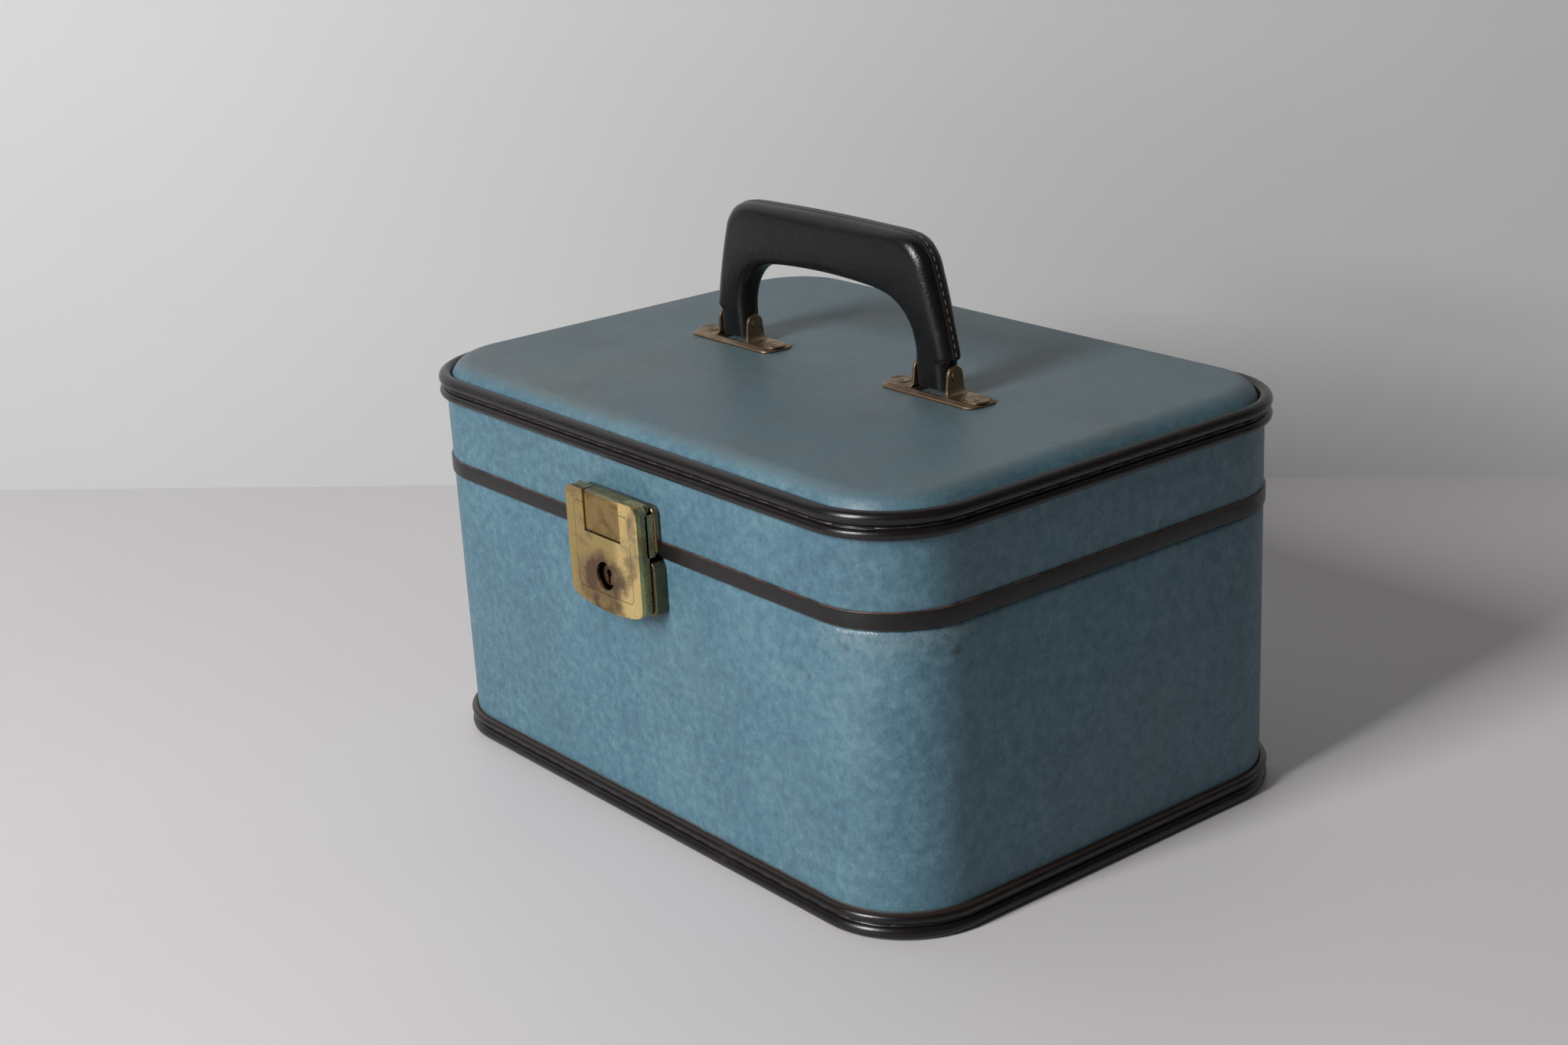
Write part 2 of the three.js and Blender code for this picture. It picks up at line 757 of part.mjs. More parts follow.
const mountHoles = () => mountRivetPlaces.map((x) => barAlongZ(
  rivetShankRadius + pinGap,
  x,
  0,
  [lidCeiling, lidTop + overrun],
));

// Handle: stations from the left leg's foot over the grip to the right leg's foot
function handleStations(tail) {
  const half = mountSpacing / 2;
  const foot = (drop) => ({
    inner: [half - legWidth / 2, -drop],
    outer: [half + legWidth / 2, -drop],
    thickness: handleShares[0][4] * handleThickness * footShare,
  });
  const rest = handleShares.map(([innerX, innerZ, outerX, outerZ, thick]) => ({
    inner: [innerX * half, innerZ * handleRise],
    outer: [outerX * half, outerZ * handleRise],
    thickness: thick * handleThickness,
  }));
  const right = [foot(tail), foot(0), ...rest];
  const left = right.slice(0, -1).map(({ inner, outer, thickness }) => ({
    inner: [-inner[0], inner[1]],
    outer: [-outer[0], outer[1]],
    thickness,
  }));
  return [...left, ...right.reverse()];
}

function handleLoft(tail, section) {
  const rings = handleStations(tail).map(({ inner, outer, thickness }) => {
    const span = Math.hypot(outer[0] - inner[0], outer[1] - inner[1]);
    const middle = [(inner[0] + outer[0]) / 2, (inner[1] + outer[1]) / 2];
    const along = [(outer[0] - inner[0]) / span, (outer[1] - inner[1]) / span];
    return section(span, thickness).map(([out, across]) => new THREE.Vector3(
      middle[0] + along[0] * out,
      -across,
      pivotZ + middle[1] + along[1] * out,
    ));
  });
  return skin(rings, false);
}

function roundedSection(span, thickness) {
  const points = [];
  for (let step = 0; step < sectionSteps; step += 1) {
    const angle = (2 * step + 1) / sectionSteps * Math.PI;
    const power = 2 / sectionPower;
    const out = Math.sign(Math.cos(angle)) * Math.abs(Math.cos(angle)) ** power;
    const across = Math.sign(Math.sin(angle)) * Math.abs(Math.sin(angle)) ** power;
    points.push([out * span / 2, across * thickness / 2]);
  }
  return points;
}

const stripSection = (gap) => () => {
  const out = coreThickness / 2 + gap;
  const across = coreWidth / 2 + gap;
  return [[out, -across], [out, across], [-out, across], [-out, -across]];
};

function legHoles(radius) {
  return mountPlaces.map(([, x]) => barAlongX(radius, [x - legWidth, x + legWidth], 0, pivotZ));
}

const handlePinHole = handlePinRadius + pinGap;

function handleGrip() {
  const channel = solid(handleLoft(legTail + overrun, stripSection(glueGap)));
  return cut(solid(handleLoft(legTail, roundedSection)), [channel, ...legHoles(handlePinHole)]);
}

function handleCore() {
  return cut(solid(handleLoft(legTail + coreTail, stripSection(0))), legHoles(handlePinHole));
}

// Lock case: a drawn shell with posts for its rivets, rails for the bolt, a hole for the barrel, and a slot
// for the staple that is open at the top, so that the lid lifts with the hasp down unless the bolt is thrown
const railHalf = barrelRadius + barrelFlange + fitGap;
const stapleSlotHalf = stapleThickness / 2 + runningGap;
const boltFront = frontFace - glueGap - runningGap - boltThickness;
const boltNoseFront = lockCaseFront + lockSheet + runningGap;

function lockCase() {
  const middle = lockCaseTop - lockCaseHeight / 2;
  const back = frontFace - glueGap;
  const outer = roundedRectangle(lockCaseWidth, lockCaseHeight, lockCorner, 0, middle);
  const width = lockCaseWidth - 2 * lockSheet;
  const height = lockCaseHeight - 2 * lockSheet;
  const inner = roundedRectangle(width, height, lockCorner - lockSheet, 0, middle);
  const shell = cut(
    uprightPlate(outer, back, lockCaseDepth, lockSheet / 2),
    [uprightPlate(inner, back + overrun, lockCaseDepth - lockSheet + overrun, 0)],
  );
  const inside = [lockCaseFront + lockSheet / 2, back];
  const boreDepths = [inside[0] + lockSheet, back + overrun];
  const posts = [-lockPostSpread / 2, lockPostSpread / 2].map((x) => cut(
    barAlongY(lockPostRadius, x, inside, keyZ),
    [barAlongY(rivetShankRadius + pinGap, x, boreDepths, keyZ)],
  ));
  const rails = [-1, 1].map((side) => {
    const near = keyZ + side * railHalf;
    const far = near + side * lockRailThickness;
    const depth = [inside[0], frontFace - glueGap - fitGap];
    return block([-boltTailLength, boltTailLength], depth, [Math.min(near, far), Math.max(near, far)]);
  });
  const across = [lockCaseFront - overrun, lockCaseFront + lockSheet + glueGap];
  const stapleSlot = [stapleAcross - stapleSlotHalf, stapleAcross + stapleSlotHalf];
  const slotDepths = [lockCaseFront - overrun, lockCaseFront + stapleReach + runningGap];
  return cut(joined([shell, ...posts, ...rails]), [
    barAlongY(barrelRadius + fitGap, 0, across, keyZ),
    block(stapleSlot, slotDepths, [keyZ - stapleHeight / 2 - runningGap, lockCaseTop + overrun]),
  ]);
}

const lockRivet = (x, z, front) => barAlongY(rivetShankRadius, x, [front, frontFace - boardInner], z);

function lockHoles(spread, z) {
  return [-1, 1].map((side) => barAlongY(
    rivetShankRadius + pinGap,
    side * spread / 2,
    [frontFace - overrun, frontFace + overrun + boardThickness],
    z,
  ));
}

// Key barrel: a boss in the case's hole, a flange behind it, and an eccentric pin that drives the bolt
const camAngle = Math.PI / 4;
const boltTravel = 2 * camRadius * Math.sin(camAngle);

function keyBarrel() {
  const flangeFront = lockCaseFront + lockSheet + fitGap;
  const flangeBack = flangeFront + barrelFlangeThickness;
  const face = haspFront + barrelRecess;
  const pinX = -camRadius * Math.sin(camAngle);
  const pinZ = keyZ + camRadius * Math.cos(camAngle);
  const slotHalf = keyholeSlotWidth / 2;
  const mouth = [face - overrun, face + keyholeDepth];
  return cut(joined([
    barAlongY(barrelRadius, 0, [face, flangeBack], keyZ),
    barAlongY(barrelRadius + barrelFlange, 0, [flangeFront, flangeBack], keyZ),
    barAlongY(camPinRadius, pinX, [flangeBack - glueGap, boltFront + boltThickness], pinZ),
  ]), [
    barAlongY(keyholeRadius, 0, mouth, keyZ + keyholeRadius / 2),
    block([-slotHalf, slotHalf], mouth, [keyZ - keyholeSlotLength, keyZ]),
  ]);
}

function lockBolt() {
  const half = railHalf - fitGap;
  const depths = [boltFront, boltFront + boltThickness];
  const noseHalf = boltNoseHeight / 2;
  const noseEnd = stapleAcross - stapleThickness / 2 - boltNoseGap;
  const blockEnd = boltLeadLength;
  const blockStart = blockEnd - boltBlockLength;
  const noseDepths = [boltNoseFront, boltNoseFront + boltThickness];
  const slotHalf = camPinRadius + camPlay;
  const slotX = -camRadius * Math.sin(camAngle);
  const slotLow = keyZ + camRadius * Math.cos(camAngle) - slotHalf;
  const slotHigh = keyZ + camRadius + slotHalf;
  const sheet = block([-boltTailLength, blockEnd], depths, [keyZ - half, keyZ + half]);
  const step = block([blockStart, blockEnd], [noseDepths[0], depths[1]], [keyZ - noseHalf, keyZ + noseHalf]);
  const nose = block([blockStart, noseEnd], noseDepths, [keyZ - noseHalf, keyZ + noseHalf]);
  const across = [depths[0] - glueGap, depths[1] + overrun];
  const slot = block([slotX - slotHalf, slotX + slotHalf], across, [slotLow, slotHigh]);
  return cut(joined([sheet, step, nose]), [slot]);
}

// Lid plate of the lock with its strap, which hooks forward over the hasp pin and down into the hasp's notch
function lidLockPlate() {
  const back = frontFace - glueGap;
  const middle = lidPlateFoot + lidPlateHeight / 2;
  const sheet = roundedRectangle(lidPlateWidth, lidPlateHeight, lockCorner, 0, middle);
  const body = uprightPlate(sheet, back, lidPlateDepth, lockSheet / 2);
  const strapFront = haspFront + haspBevel / 2;
  const top = haspPivotZ + strapKnuckleRadius - glueGap;
  const hook = new THREE.Shape();
  hook.moveTo(haspPivotY, top);
  hook.lineTo(strapFront + strapBend, top);
  hook.quadraticCurveTo(strapFront, top, strapFront, top - strapBend);
  hook.lineTo(strapFront, top - strapLength);
  hook.lineTo(strapFront + lockSheet, top - strapLength);
  hook.lineTo(strapFront + lockSheet, top - lockSheet);
  hook.lineTo(haspPivotY, top - lockSheet);
  const strapShape = { depth: strapWidth, bevelEnabled: false, curveSegments: 4 };
  const strap = new THREE.ExtrudeGeometry(hook, strapShape);
  strap.rotateX(Math.PI / 2).rotateZ(Math.PI / 2).translate(-strapWidth / 2, 0, 0);
  const halfStrap = [-strapWidth / 2, strapWidth / 2];
  const webDepths = [haspPivotY, lidPlateFront + lockSheet];
  const web = block(halfStrap, webDepths, [haspPivotZ - strapKnuckleRadius, lidPlateTop]);
  const knuckle = barAlongX(strapKnuckleRadius, halfStrap, haspPivotY, haspPivotZ);
  const pinHole = barAlongX(haspPinRadius + pinGap, [-haspWidth, haspWidth], haspPivotY, haspPivotZ);
  const rivetEnds = [back - lidPlateDepth + lockSheet, back + overrun];
  const rivetHoles = [-1, 1].map((side) => barAlongY(
    rivetShankRadius + pinGap,
    side * lidPlateRivetSpread / 2,
    rivetEnds,
    middle,
  ));
  return cut(joined([body, solid(strap), web, knuckle]), [pinHole, ...rivetHoles]);
}

// Hasp: a drawn front shell with a notch for the strap, knuckles on the pin, a round opening for the key,
// and its foot cut back behind the front so that the barrel's boss passes when the lid rises
function haspOutline(inset) {
  const half = haspWidth / 2 - inset;
  const top = haspTop - inset;
  const corner = haspCorner - inset;
  const side = haspTop - haspHeight + inset;
  const shape = new THREE.Shape();
  shape.moveTo(half, side + corner);
  shape.lineTo(half, top - corner);
  shape.quadraticCurveTo(half, top, half - corner, top);
  shape.lineTo(corner - half, top);
  shape.quadraticCurveTo(-half, top, -half, top - corner);
  shape.lineTo(-half, side + corner);
  shape.quadraticCurveTo(-half, side, corner - half, side - haspBulge * corner / half);
  shape.quadraticCurveTo(0, side - 2 * haspBulge, half - corner, side - haspBulge * corner / half);
  shape.quadraticCurveTo(half, side, half, side + corner);
  return shape;
}

function haspShell() {
  const shell = cut(
    uprightPlate(haspOutline(0), haspBack, haspDepth, haspBevel),
    [uprightPlate(haspOutline(lockSheet), haspBack + overrun, haspDepth - lockSheet + overrun, 0)],
  );
  const notchHalf = strapWidth / 2 + haspNotchGap;
  const strapFoot = haspPivotZ + strapKnuckleRadius - glueGap - strapLength;
  const depths = [haspFront - overrun, haspBack + overrun];
  const notchHeights = [strapFoot - haspNotchGap - pinGap, haspTop + overrun];
  const notch = block([-notchHalf, notchHalf], depths, notchHeights);
  const keyOpening = barAlongY(keyholeOpeningRadius, 0, depths, keyZ);
  const bossPass = barrelRadius + runningGap;
  const passDepths = [haspFront + lockSheet, haspBack + overrun];
  const footRelief = block([-bossPass, bossPass], passDepths, [haspTop - haspHeight - overrun, keyZ]);
  const knuckleEnd = haspWidth / 2 - haspKnuckleInset;
  const knuckles = [-1, 1].flatMap((side) => {
    const near = side * (notchHalf + haspNotchGap);
    const far = side * knuckleEnd;
    const ends = [Math.min(near, far), Math.max(near, far)];
    const frontInner = haspFront + lockSheet / 2;
    return [
      barAlongX(strapKnuckleRadius, ends, haspPivotY, haspPivotZ),
      block(ends, [frontInner, haspPivotY], [haspPivotZ - haspPinRadius, haspTop - lockSheet / 2]),
    ];
  });
  const pinHole = barAlongX(haspPinRadius + pinGap, [-haspWidth, haspWidth], haspPivotY, haspPivotZ);
  return cut(joined([cut(shell, [notch, keyOpening, footRelief]), ...knuckles]), [pinHole]);
}

const haspPinHalf = haspWidth / 2 - haspKnuckleInset;
const haspPin = () => barAlongX(haspPinRadius, [-haspPinHalf, haspPinHalf], haspPivotY, haspPivotZ);

function haspStaple() {
  const inner = haspFront + lockSheet + glueGap;
  const tip = lockCaseFront + stapleReach;
  const half = stapleThickness / 2;
  const flangeHalf = stapleFlange / 2;
  const heights = [keyZ - stapleHeight / 2, keyZ + stapleHeight / 2];
  const eyeHalf = stapleEyeHeight / 2;
  const tongue = block([stapleAcross - half, stapleAcross + half], [inner, tip], heights);
  const flange = block(
    [stapleAcross - flangeHalf, stapleAcross + flangeHalf],
    [inner, inner + stapleFlangeThickness],
    heights,
  );
  const eye = block(
    [stapleAcross - flangeHalf, stapleAcross + flangeHalf],
    [tip - stapleTip - stapleEyeDepth, tip - stapleTip],
    [keyZ - eyeHalf, keyZ + eyeHalf],
  );
  return cut(tongue.add(flange), [eye]);
}

// Base
const caseRivetFront = lockCaseFront + 2 * lockSheet;
const baseHoles = () => [...hingeHoles(-1), ...lockHoles(lockPostSpread, keyZ)];
addPiece('base_wall', surface(cut(solid(baseWall()), baseHoles())), finishes.board);
addPiece('base_cover', surface(cut(solid(baseCover()), baseHoles())), finishes.leatherette);
addPiece('base_floor', flatPanel(floorTop - floorThickness, floorTop), finishes.board);
const floorCoverTop = floorCoverHeight + coverThickness;
addPiece('base_floor_cover', flatPanel(floorCoverHeight, floorCoverTop), finishes.leatherette);
addPiece('base_trim', baseTrim(), finishes.trim);
addPiece('base_rim', baseRim(), finishes.lining);
addPiece('base_lining', baseLining(), finishes.lining);
addPiece('elastic_pocket', pocket(), finishes.lining);

// Lid
const lidPlateMiddle = lidPlateFoot + lidPlateHeight / 2;
const lidHoles = () => [...hingeHoles(1), ...lockHoles(lidPlateRivetSpread, lidPlateMiddle)];
addPiece('lid_wall', surface(cut(solid(lidWall()), lidHoles())), finishes.board);
addPiece('lid_cover', surface(cut(solid(lidCover()), lidHoles())), finishes.leatherette);
const lidBoard = solid(crownedPanel(lidBoardTop, lidBoardThickness));
addPiece('lid_panel', surface(cut(lidBoard, mountHoles())), finishes.board);
const lidBoardCover = solid(crownedPanel(lidTop, coverThickness));
addPiece('lid_panel_cover', surface(cut(lidBoardCover, mountHoles())), finishes.leatherette);
addPiece('lid_trim', lidTrim(), finishes.trim);
for (const [name, spans] of Object.entries(bandPlaces)) {
  addPiece(`closure_band_${name}`, surface(closureBand(spans)), finishes.trim);
}
addPiece('lid_lining', lidLining(), finishes.lining);
addPiece('lid_ceiling', lidCeilingPad(), finishes.lining);
addPiece('mirror_glass', mirrorGlass(), finishes.mirror);
addPiece('mirror_frame', surface(mirrorFrame()), finishes.lining);

// Hinges
for (const [name, x] of hingePlaces) {
  addPiece(`hinge_base_leaf_${name}`, surface(hingeLeaf(x, -1)), finishes.brass);
  addPiece(`hinge_lid_leaf_${name}`, surface(hingeLeaf(x, 1)), finishes.brass);
  addPiece(`hinge_pin_${name}`, surface(hingePin(x)), finishes.steel);
}
hingeRivetPlaces.forEach((x, index) => {
  addPiece(`hinge_base_rivet_${index + 1}`, surface(hingeRivet(x, -1)), finishes.brass);
  addPiece(`hinge_lid_rivet_${index + 1}`, surface(hingeRivet(x, 1)), finishes.brass);
});

// Handle
for (const [name, x] of mountPlaces) {
  addPiece(`handle_mount_${name}`, surface(handleMount(x)), finishes.brass);
  addPiece(`handle_pin_${name}`, surface(handlePin(x)), finishes.brass);
}
mountRivetPlaces.forEach((x, index) => {
  addPiece(`handle_mount_rivet_${index + 1}`, surface(mountRivet(x)), finishes.brass);
});
addPiece('handle_grip', surface(handleGrip()), finishes.leather);
addPiece('handle_core', surface(handleCore()), finishes.steel);

// Lock
addPiece('lock_case', surface(lockCase()), finishes.brass);
addPiece('key_barrel', surface(keyBarrel()), finishes.brass);
addPiece('lock_bolt', surface(lockBolt()), finishes.steel);
addPiece('lid_lock_plate', surface(lidLockPlate()), finishes.brass);
const lidPlateRivetFront = lidPlateFront + 2 * lockSheet;
for (const [name, side] of [['left', -1], ['right', 1]]) {
  const caseRivet = lockRivet(side * lockPostSpread / 2, keyZ, caseRivetFront);
  addPiece(`lock_case_rivet_${name}`, surface(caseRivet), finishes.brass);
  const plateRivet = lockRivet(side * lidPlateRivetSpread / 2, lidPlateMiddle, lidPlateRivetFront);
  addPiece(`lid_plate_rivet_${name}`, surface(plateRivet), finishes.brass);
}
addPiece('hasp_shell', surface(haspShell()), finishes.brass);
addPiece('hasp_pin', surface(haspPin()), finishes.steel);
addPiece('hasp_staple', surface(haspStaple()), finishes.steel);

// The frame's origin is under the middle of everything, lock and hinges included
caseGroup.position.y = caseShift;

export default caseGroup;
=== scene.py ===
import json
import math

import bmesh
import bpy
from mathutils import Matrix, Vector


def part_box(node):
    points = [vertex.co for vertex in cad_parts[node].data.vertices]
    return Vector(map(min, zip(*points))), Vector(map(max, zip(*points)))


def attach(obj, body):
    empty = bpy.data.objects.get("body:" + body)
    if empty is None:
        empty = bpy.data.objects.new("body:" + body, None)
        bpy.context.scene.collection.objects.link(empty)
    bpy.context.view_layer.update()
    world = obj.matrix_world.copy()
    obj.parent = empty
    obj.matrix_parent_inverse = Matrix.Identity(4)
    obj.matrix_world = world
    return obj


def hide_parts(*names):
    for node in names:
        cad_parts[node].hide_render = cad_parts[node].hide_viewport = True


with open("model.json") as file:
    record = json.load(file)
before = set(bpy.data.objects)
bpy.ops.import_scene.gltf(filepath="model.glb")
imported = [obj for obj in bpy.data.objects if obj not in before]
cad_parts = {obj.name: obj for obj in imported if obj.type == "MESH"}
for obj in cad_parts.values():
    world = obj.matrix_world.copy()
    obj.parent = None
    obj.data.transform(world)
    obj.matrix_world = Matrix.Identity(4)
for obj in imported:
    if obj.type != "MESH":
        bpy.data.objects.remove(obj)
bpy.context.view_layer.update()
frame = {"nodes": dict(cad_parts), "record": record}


# Base cover. Blue leatherette, paper-backed and printed with a fibre mottle, glued round the board
# wall, rolled over its top edge and turned in under the lid. Its foot goes under the corded trim.


def corners(node):
    """The lowest and the highest corner of a node of the CAD model."""
    return [Vector(corner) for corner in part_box(node)]


case_low, case_high = corners("base_cover")
case_middle_y = (case_low.y + case_high.y) / 2
half_width = (case_high.x - case_low.x) / 2
half_depth = (case_high.y - case_low.y) / 2
corner_radius = 0.039
corner_turns = 16
run_x = half_width - corner_radius
run_y = half_depth - corner_radius
front_right, back_right, back_left, front_left = [
    Vector((x, case_middle_y + y, 0))
    for x, y in ((run_x, -run_y), (run_x, run_y), (-run_x, run_y), (-run_x, -run_y))
]
round_the_case = [
    ((2 * run_x, 0, 0), front_right),
    ((0, 2 * run_y, 0), back_right),
    ((-2 * run_x, 0, 0), back_left),
    ((0, -2 * run_y, 0), front_left),
]
merge_reach = 0.00002
level_slack = 0.00005
cover_thickness = 0.0007


def select_only(piece):
    bpy.ops.object.select_all(action="DESELECT")
    piece.select_set(True)
    bpy.context.view_layer.objects.active = piece


def start_edit(piece):
    select_only(piece)
    bpy.ops.object.mode_set(mode="EDIT")


def end_edit(piece):
    bpy.ops.object.mode_set(mode="OBJECT")
    piece.select_set(False)


def trace(name, points):
    """A chain of edges drawn from point to point, left in edit mode and selected."""
    bpy.ops.object.select_all(action="DESELECT")
    bpy.ops.mesh.primitive_plane_add(size=0.01)
    piece = bpy.context.object
    piece.name = name
    start_edit(piece)
    bpy.ops.mesh.select_all(action="SELECT")
    bpy.ops.mesh.merge(type="CENTER")
    bpy.ops.transform.translate(value=points[0])
    for here, there in zip(points, points[1:]):
        step = Vector(there) - Vector(here)
        bpy.ops.mesh.extrude_vertices_move(TRANSFORM_OT_translate={"value": step})
    bpy.ops.mesh.select_all(action="SELECT")
    return piece


def arc(centre, radius, start, end, steps):
    """Points in a profile's plane on an arc, angles in degrees."""
    angles = [math.radians(start + (end - start) * i / steps) for i in range(steps + 1)]
    return [(centre[0] + radius * math.cos(a), centre[1] + radius * math.sin(a)) for a in angles]


def at_front(profile, x):
    """A profile of (distance outside the cover, height) stood on the front wall at x."""
    return [Vector((x, case_middle_y - half_depth - out, height)) for out, height in profile]


def carry_along(legs):
    """Sweeps the selected profile along legs: a straight move and then, with a centre, a quarter turn."""
    for move, centre in legs:
        bpy.ops.mesh.extrude_region_move(TRANSFORM_OT_translate={"value": move})
        if centre:
            bpy.ops.mesh.spin(steps=corner_turns, angle=-math.pi / 2, center=centre, axis=(0, 0, 1))


def turn_faces_out():
    bpy.ops.mesh.select_all(action="SELECT")
    bpy.ops.mesh.normals_make_consistent(inside=False)


def carry_round():
    """The selected profile, standing at the left end of the front wall, is swept once round the case."""
    carry_along(round_the_case)
    bpy.ops.mesh.select_all(action="SELECT")
    bpy.ops.mesh.remove_doubles(threshold=merge_reach)
    turn_faces_out()


def fill_rim(piece, height):
    """Closes the ring of open edges at a height with one face."""
    bpy.ops.mesh.select_all(action="DESELECT")
    mesh = bmesh.from_edit_mesh(piece.data)
    for edge in mesh.edges:
        edge.select_set(edge.is_boundary and max(abs(v.co.z - height) for v in edge.verts) < level_slack)
    bmesh.update_edit_mesh(piece.data)
    bpy.ops.mesh.edge_face_add()
    turn_faces_out()


def swept_round(name, profile, filled_heights=()):
    """A profile carried once round the case, its open rims closed at the given heights."""
    piece = trace(name, at_front(profile, -run_x))
    carry_round()
    for height in filled_heights:
        fill_rim(piece, height)
    end_edit(piece)
    return piece


def apply_modifiers(piece):
    select_only(piece)
    for modifier in list(piece.modifiers):
        bpy.ops.object.modifier_apply(modifier=modifier.name)


def give_thickness(piece, thickness, offset=-1):
    modifier = piece.modifiers.new("thickness", "SOLIDIFY")
    modifier.thickness = thickness
    modifier.offset = offset
    modifier.use_even_offset = True
    apply_modifiers(piece)


def finish_piece(piece, material, body, nodes=(), smooth=35):
    """Settles a piece in place, gives it its material, hangs it on its body's empty, and hides the CAD nodes
    it stands for.
    """
    select_only(piece)
    bpy.ops.object.transform_apply(location=True, rotation=True, scale=True)
    bpy.ops.object.shade_smooth_by_angle(angle=math.radians(smooth))
    piece.data.materials.clear()
    piece.data.materials.append(material)
    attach(piece, body)
    if nodes:
        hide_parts(*nodes)
    piece.select_set(False)


class Nodes:
    """The nodes of a material or of a group."""

    def node(self, kind, inputs=None, **settings):
        """A shader node with its sockets set from values or linked from other sockets."""
        made = self.tree.nodes.new("ShaderNode" + kind)
        for name, value in settings.items():
            setattr(made, name, value)
        for key, value in (inputs or {}).items():
            if isinstance(value, bpy.types.NodeSocket):
                self.tree.links.new(value, made.inputs[key])
            else:
                made.inputs[key].default_value = value
        return made

    def math(self, operation, first, second=0.0, third=0.0):
        return self.node("Math", {0: first, 1: second, 2: third}, operation=operation).outputs[0]

    def times(self, first, *factors):
        for factor in factors:
            first = self.math("MULTIPLY", first, factor)
        return first

    def weighted(self, *terms):
        """The sum of masks or heights, each with its weight."""
        total = 0.0
        for term, weight in terms:
            total = self.math("MULTIPLY_ADD", term, weight, total)
        return total

    def apart(self, first, second):
        """How far apart two numbers are."""
        return self.math("ABSOLUTE", self.math("SUBTRACT", first, second))

    def length(self, across, up):
        squares = self.math("ADD", self.times(across, across), self.times(up, up))
        return self.math("SQRT", squares)

    def fade(self, value, start, end, low=0.0, high=1.0):
        """A smooth step of value from start to end."""
        inputs = {"Value": value, "From Min": start, "From Max": end, "To Min": low, "To Max": high}
        return self.node("MapRange", inputs, interpolation_type="SMOOTHSTEP").outputs["Result"]


class Effect(Nodes):
    """A node group that several materials use: the place and numbers go in, one mask or height comes out."""

    def __init__(self, name, numbers, result):
        self.tree = bpy.data.node_groups.new(name, "ShaderNodeTree")
        new_socket = self.tree.interface.new_socket
        new_socket(name="Vector", in_out="INPUT", socket_type="NodeSocketVector")
        for label, default in numbers.items():
            new_socket(name=label, in_out="INPUT", socket_type="NodeSocketFloat").default_value = default
        new_socket(name=result, in_out="OUTPUT", socket_type="NodeSocketFloat")
        self.given = self.tree.nodes.new("NodeGroupInput").outputs
        self.result = self.tree.nodes.new("NodeGroupOutput").inputs[result]

    def put_out(self, socket):
        self.tree.links.new(socket, self.result)


# Grain: the pebbled skin of leather and of printed leatherette, as a height.
grain = Effect("pebble grain", {"Scale": 900.0}, "Height")
pebbles = grain.node(
    "TexVoronoi", {"Vector": grain.given["Vector"], "Scale": grain.given["Scale"]}, feature="SMOOTH_F1")
folds = grain.node("TexNoise", {
    "Vector": grain.given["Vector"],
    "Scale": grain.times(grain.given["Scale"], 0.35),
    "Detail": 4.0,
})
grain.put_out(grain.math("MULTIPLY_ADD", folds.outputs["Fac"], 0.8, pebbles.outputs["Distance"]))

# Patches: soft-edged stains and worn places, as a mask, larger where Amount is higher.
patches = Effect("patches", {"Scale": 20.0, "Amount": 0.4, "Softness": 0.1}, "Mask")
clouds = patches.node("TexNoise", {
    "Vector": patches.given["Vector"],
    "Scale": patches.given["Scale"],
    "Detail": 6.0,
    "Roughness": 0.62,
}).outputs["Fac"]
threshold = patches.math("SUBTRACT", 0.75, patches.times(patches.given["Amount"], 0.5))
upper = patches.math("ADD", threshold, patches.given["Softness"])
patches.put_out(patches.fade(clouds, threshold, upper))


class Finish(Nodes):
    """A material in the making. place is the place of each point of the piece, in metres."""

    def __init__(self, name, roughness=0.5, metallic=0.0, specular=0.5, sheen=0.0):
        self.material = bpy.data.materials.new(name)
        self.material.use_nodes = True
        self.tree = self.material.node_tree
        self.shader = self.tree.nodes["Principled BSDF"]
        self.shader.inputs["Roughness"].default_value = roughness
        self.shader.inputs["Metallic"].default_value = metallic
        self.shader.inputs["Specular IOR Level"].default_value = specular
        self.shader.inputs["Sheen Weight"].default_value = sheen
        self.place = self.node("TexCoord").outputs["Object"]
        self.axes = self.node("SeparateXYZ", {0: self.place}).outputs

    def mix(self, mask, first, second):
        """The first colour, with the second over it where the mask says."""
        return self.node("Mix", {0: mask, 6: first, 7: second}, data_type="RGBA").outputs[2]

    def stretched(self, scale, rotation=(0.0, 0.0, 0.0)):
        return self.node("Mapping", {"Vector": self.place, "Rotation": rotation, "Scale": scale}).outputs[0]

    def noise(self, scale, detail, roughness=0.5, distortion=0.0, place=None):
        inputs = {"Vector": place or self.place, "Scale": scale, "Detail": detail}
        inputs.update({"Roughness": roughness, "Distortion": distortion})
        return self.node("TexNoise", inputs).outputs["Fac"]

    def waves(self, scale, distortion, detail=2.0, direction="DIAGONAL"):
        inputs = {"Vector": self.place, "Scale": scale, "Distortion": distortion, "Detail": detail}
        return self.node("TexWave", inputs, bands_direction=direction).outputs["Fac"]

    def grained(self, scale):
        return self.node("Group", {"Vector": self.place, "Scale": scale}, node_tree=grain.tree).outputs[0]

    def patched(self, scale, amount, softness):
        inputs = {"Vector": self.place, "Scale": scale, "Amount": amount, "Softness": softness}
        return self.node("Group", inputs, node_tree=patches.tree).outputs[0]

    def done(self, base, roughness=None, relief=None, strength=0.3, depth=0.0002, metal=None):
        """Links what changes over the surface to the shader, a relief through a Bump node."""
        normal = None
        if relief is not None:
            bump = self.node("Bump", {"Strength": strength, "Distance": depth, "Height": relief})
            normal = bump.outputs["Normal"]
        links = {"Base Color": base, "Roughness": roughness, "Metallic": metal, "Normal": normal}
        for label, socket in links.items():
            if socket is not None:
                self.tree.links.new(socket, self.shader.inputs[label])
        return self.material


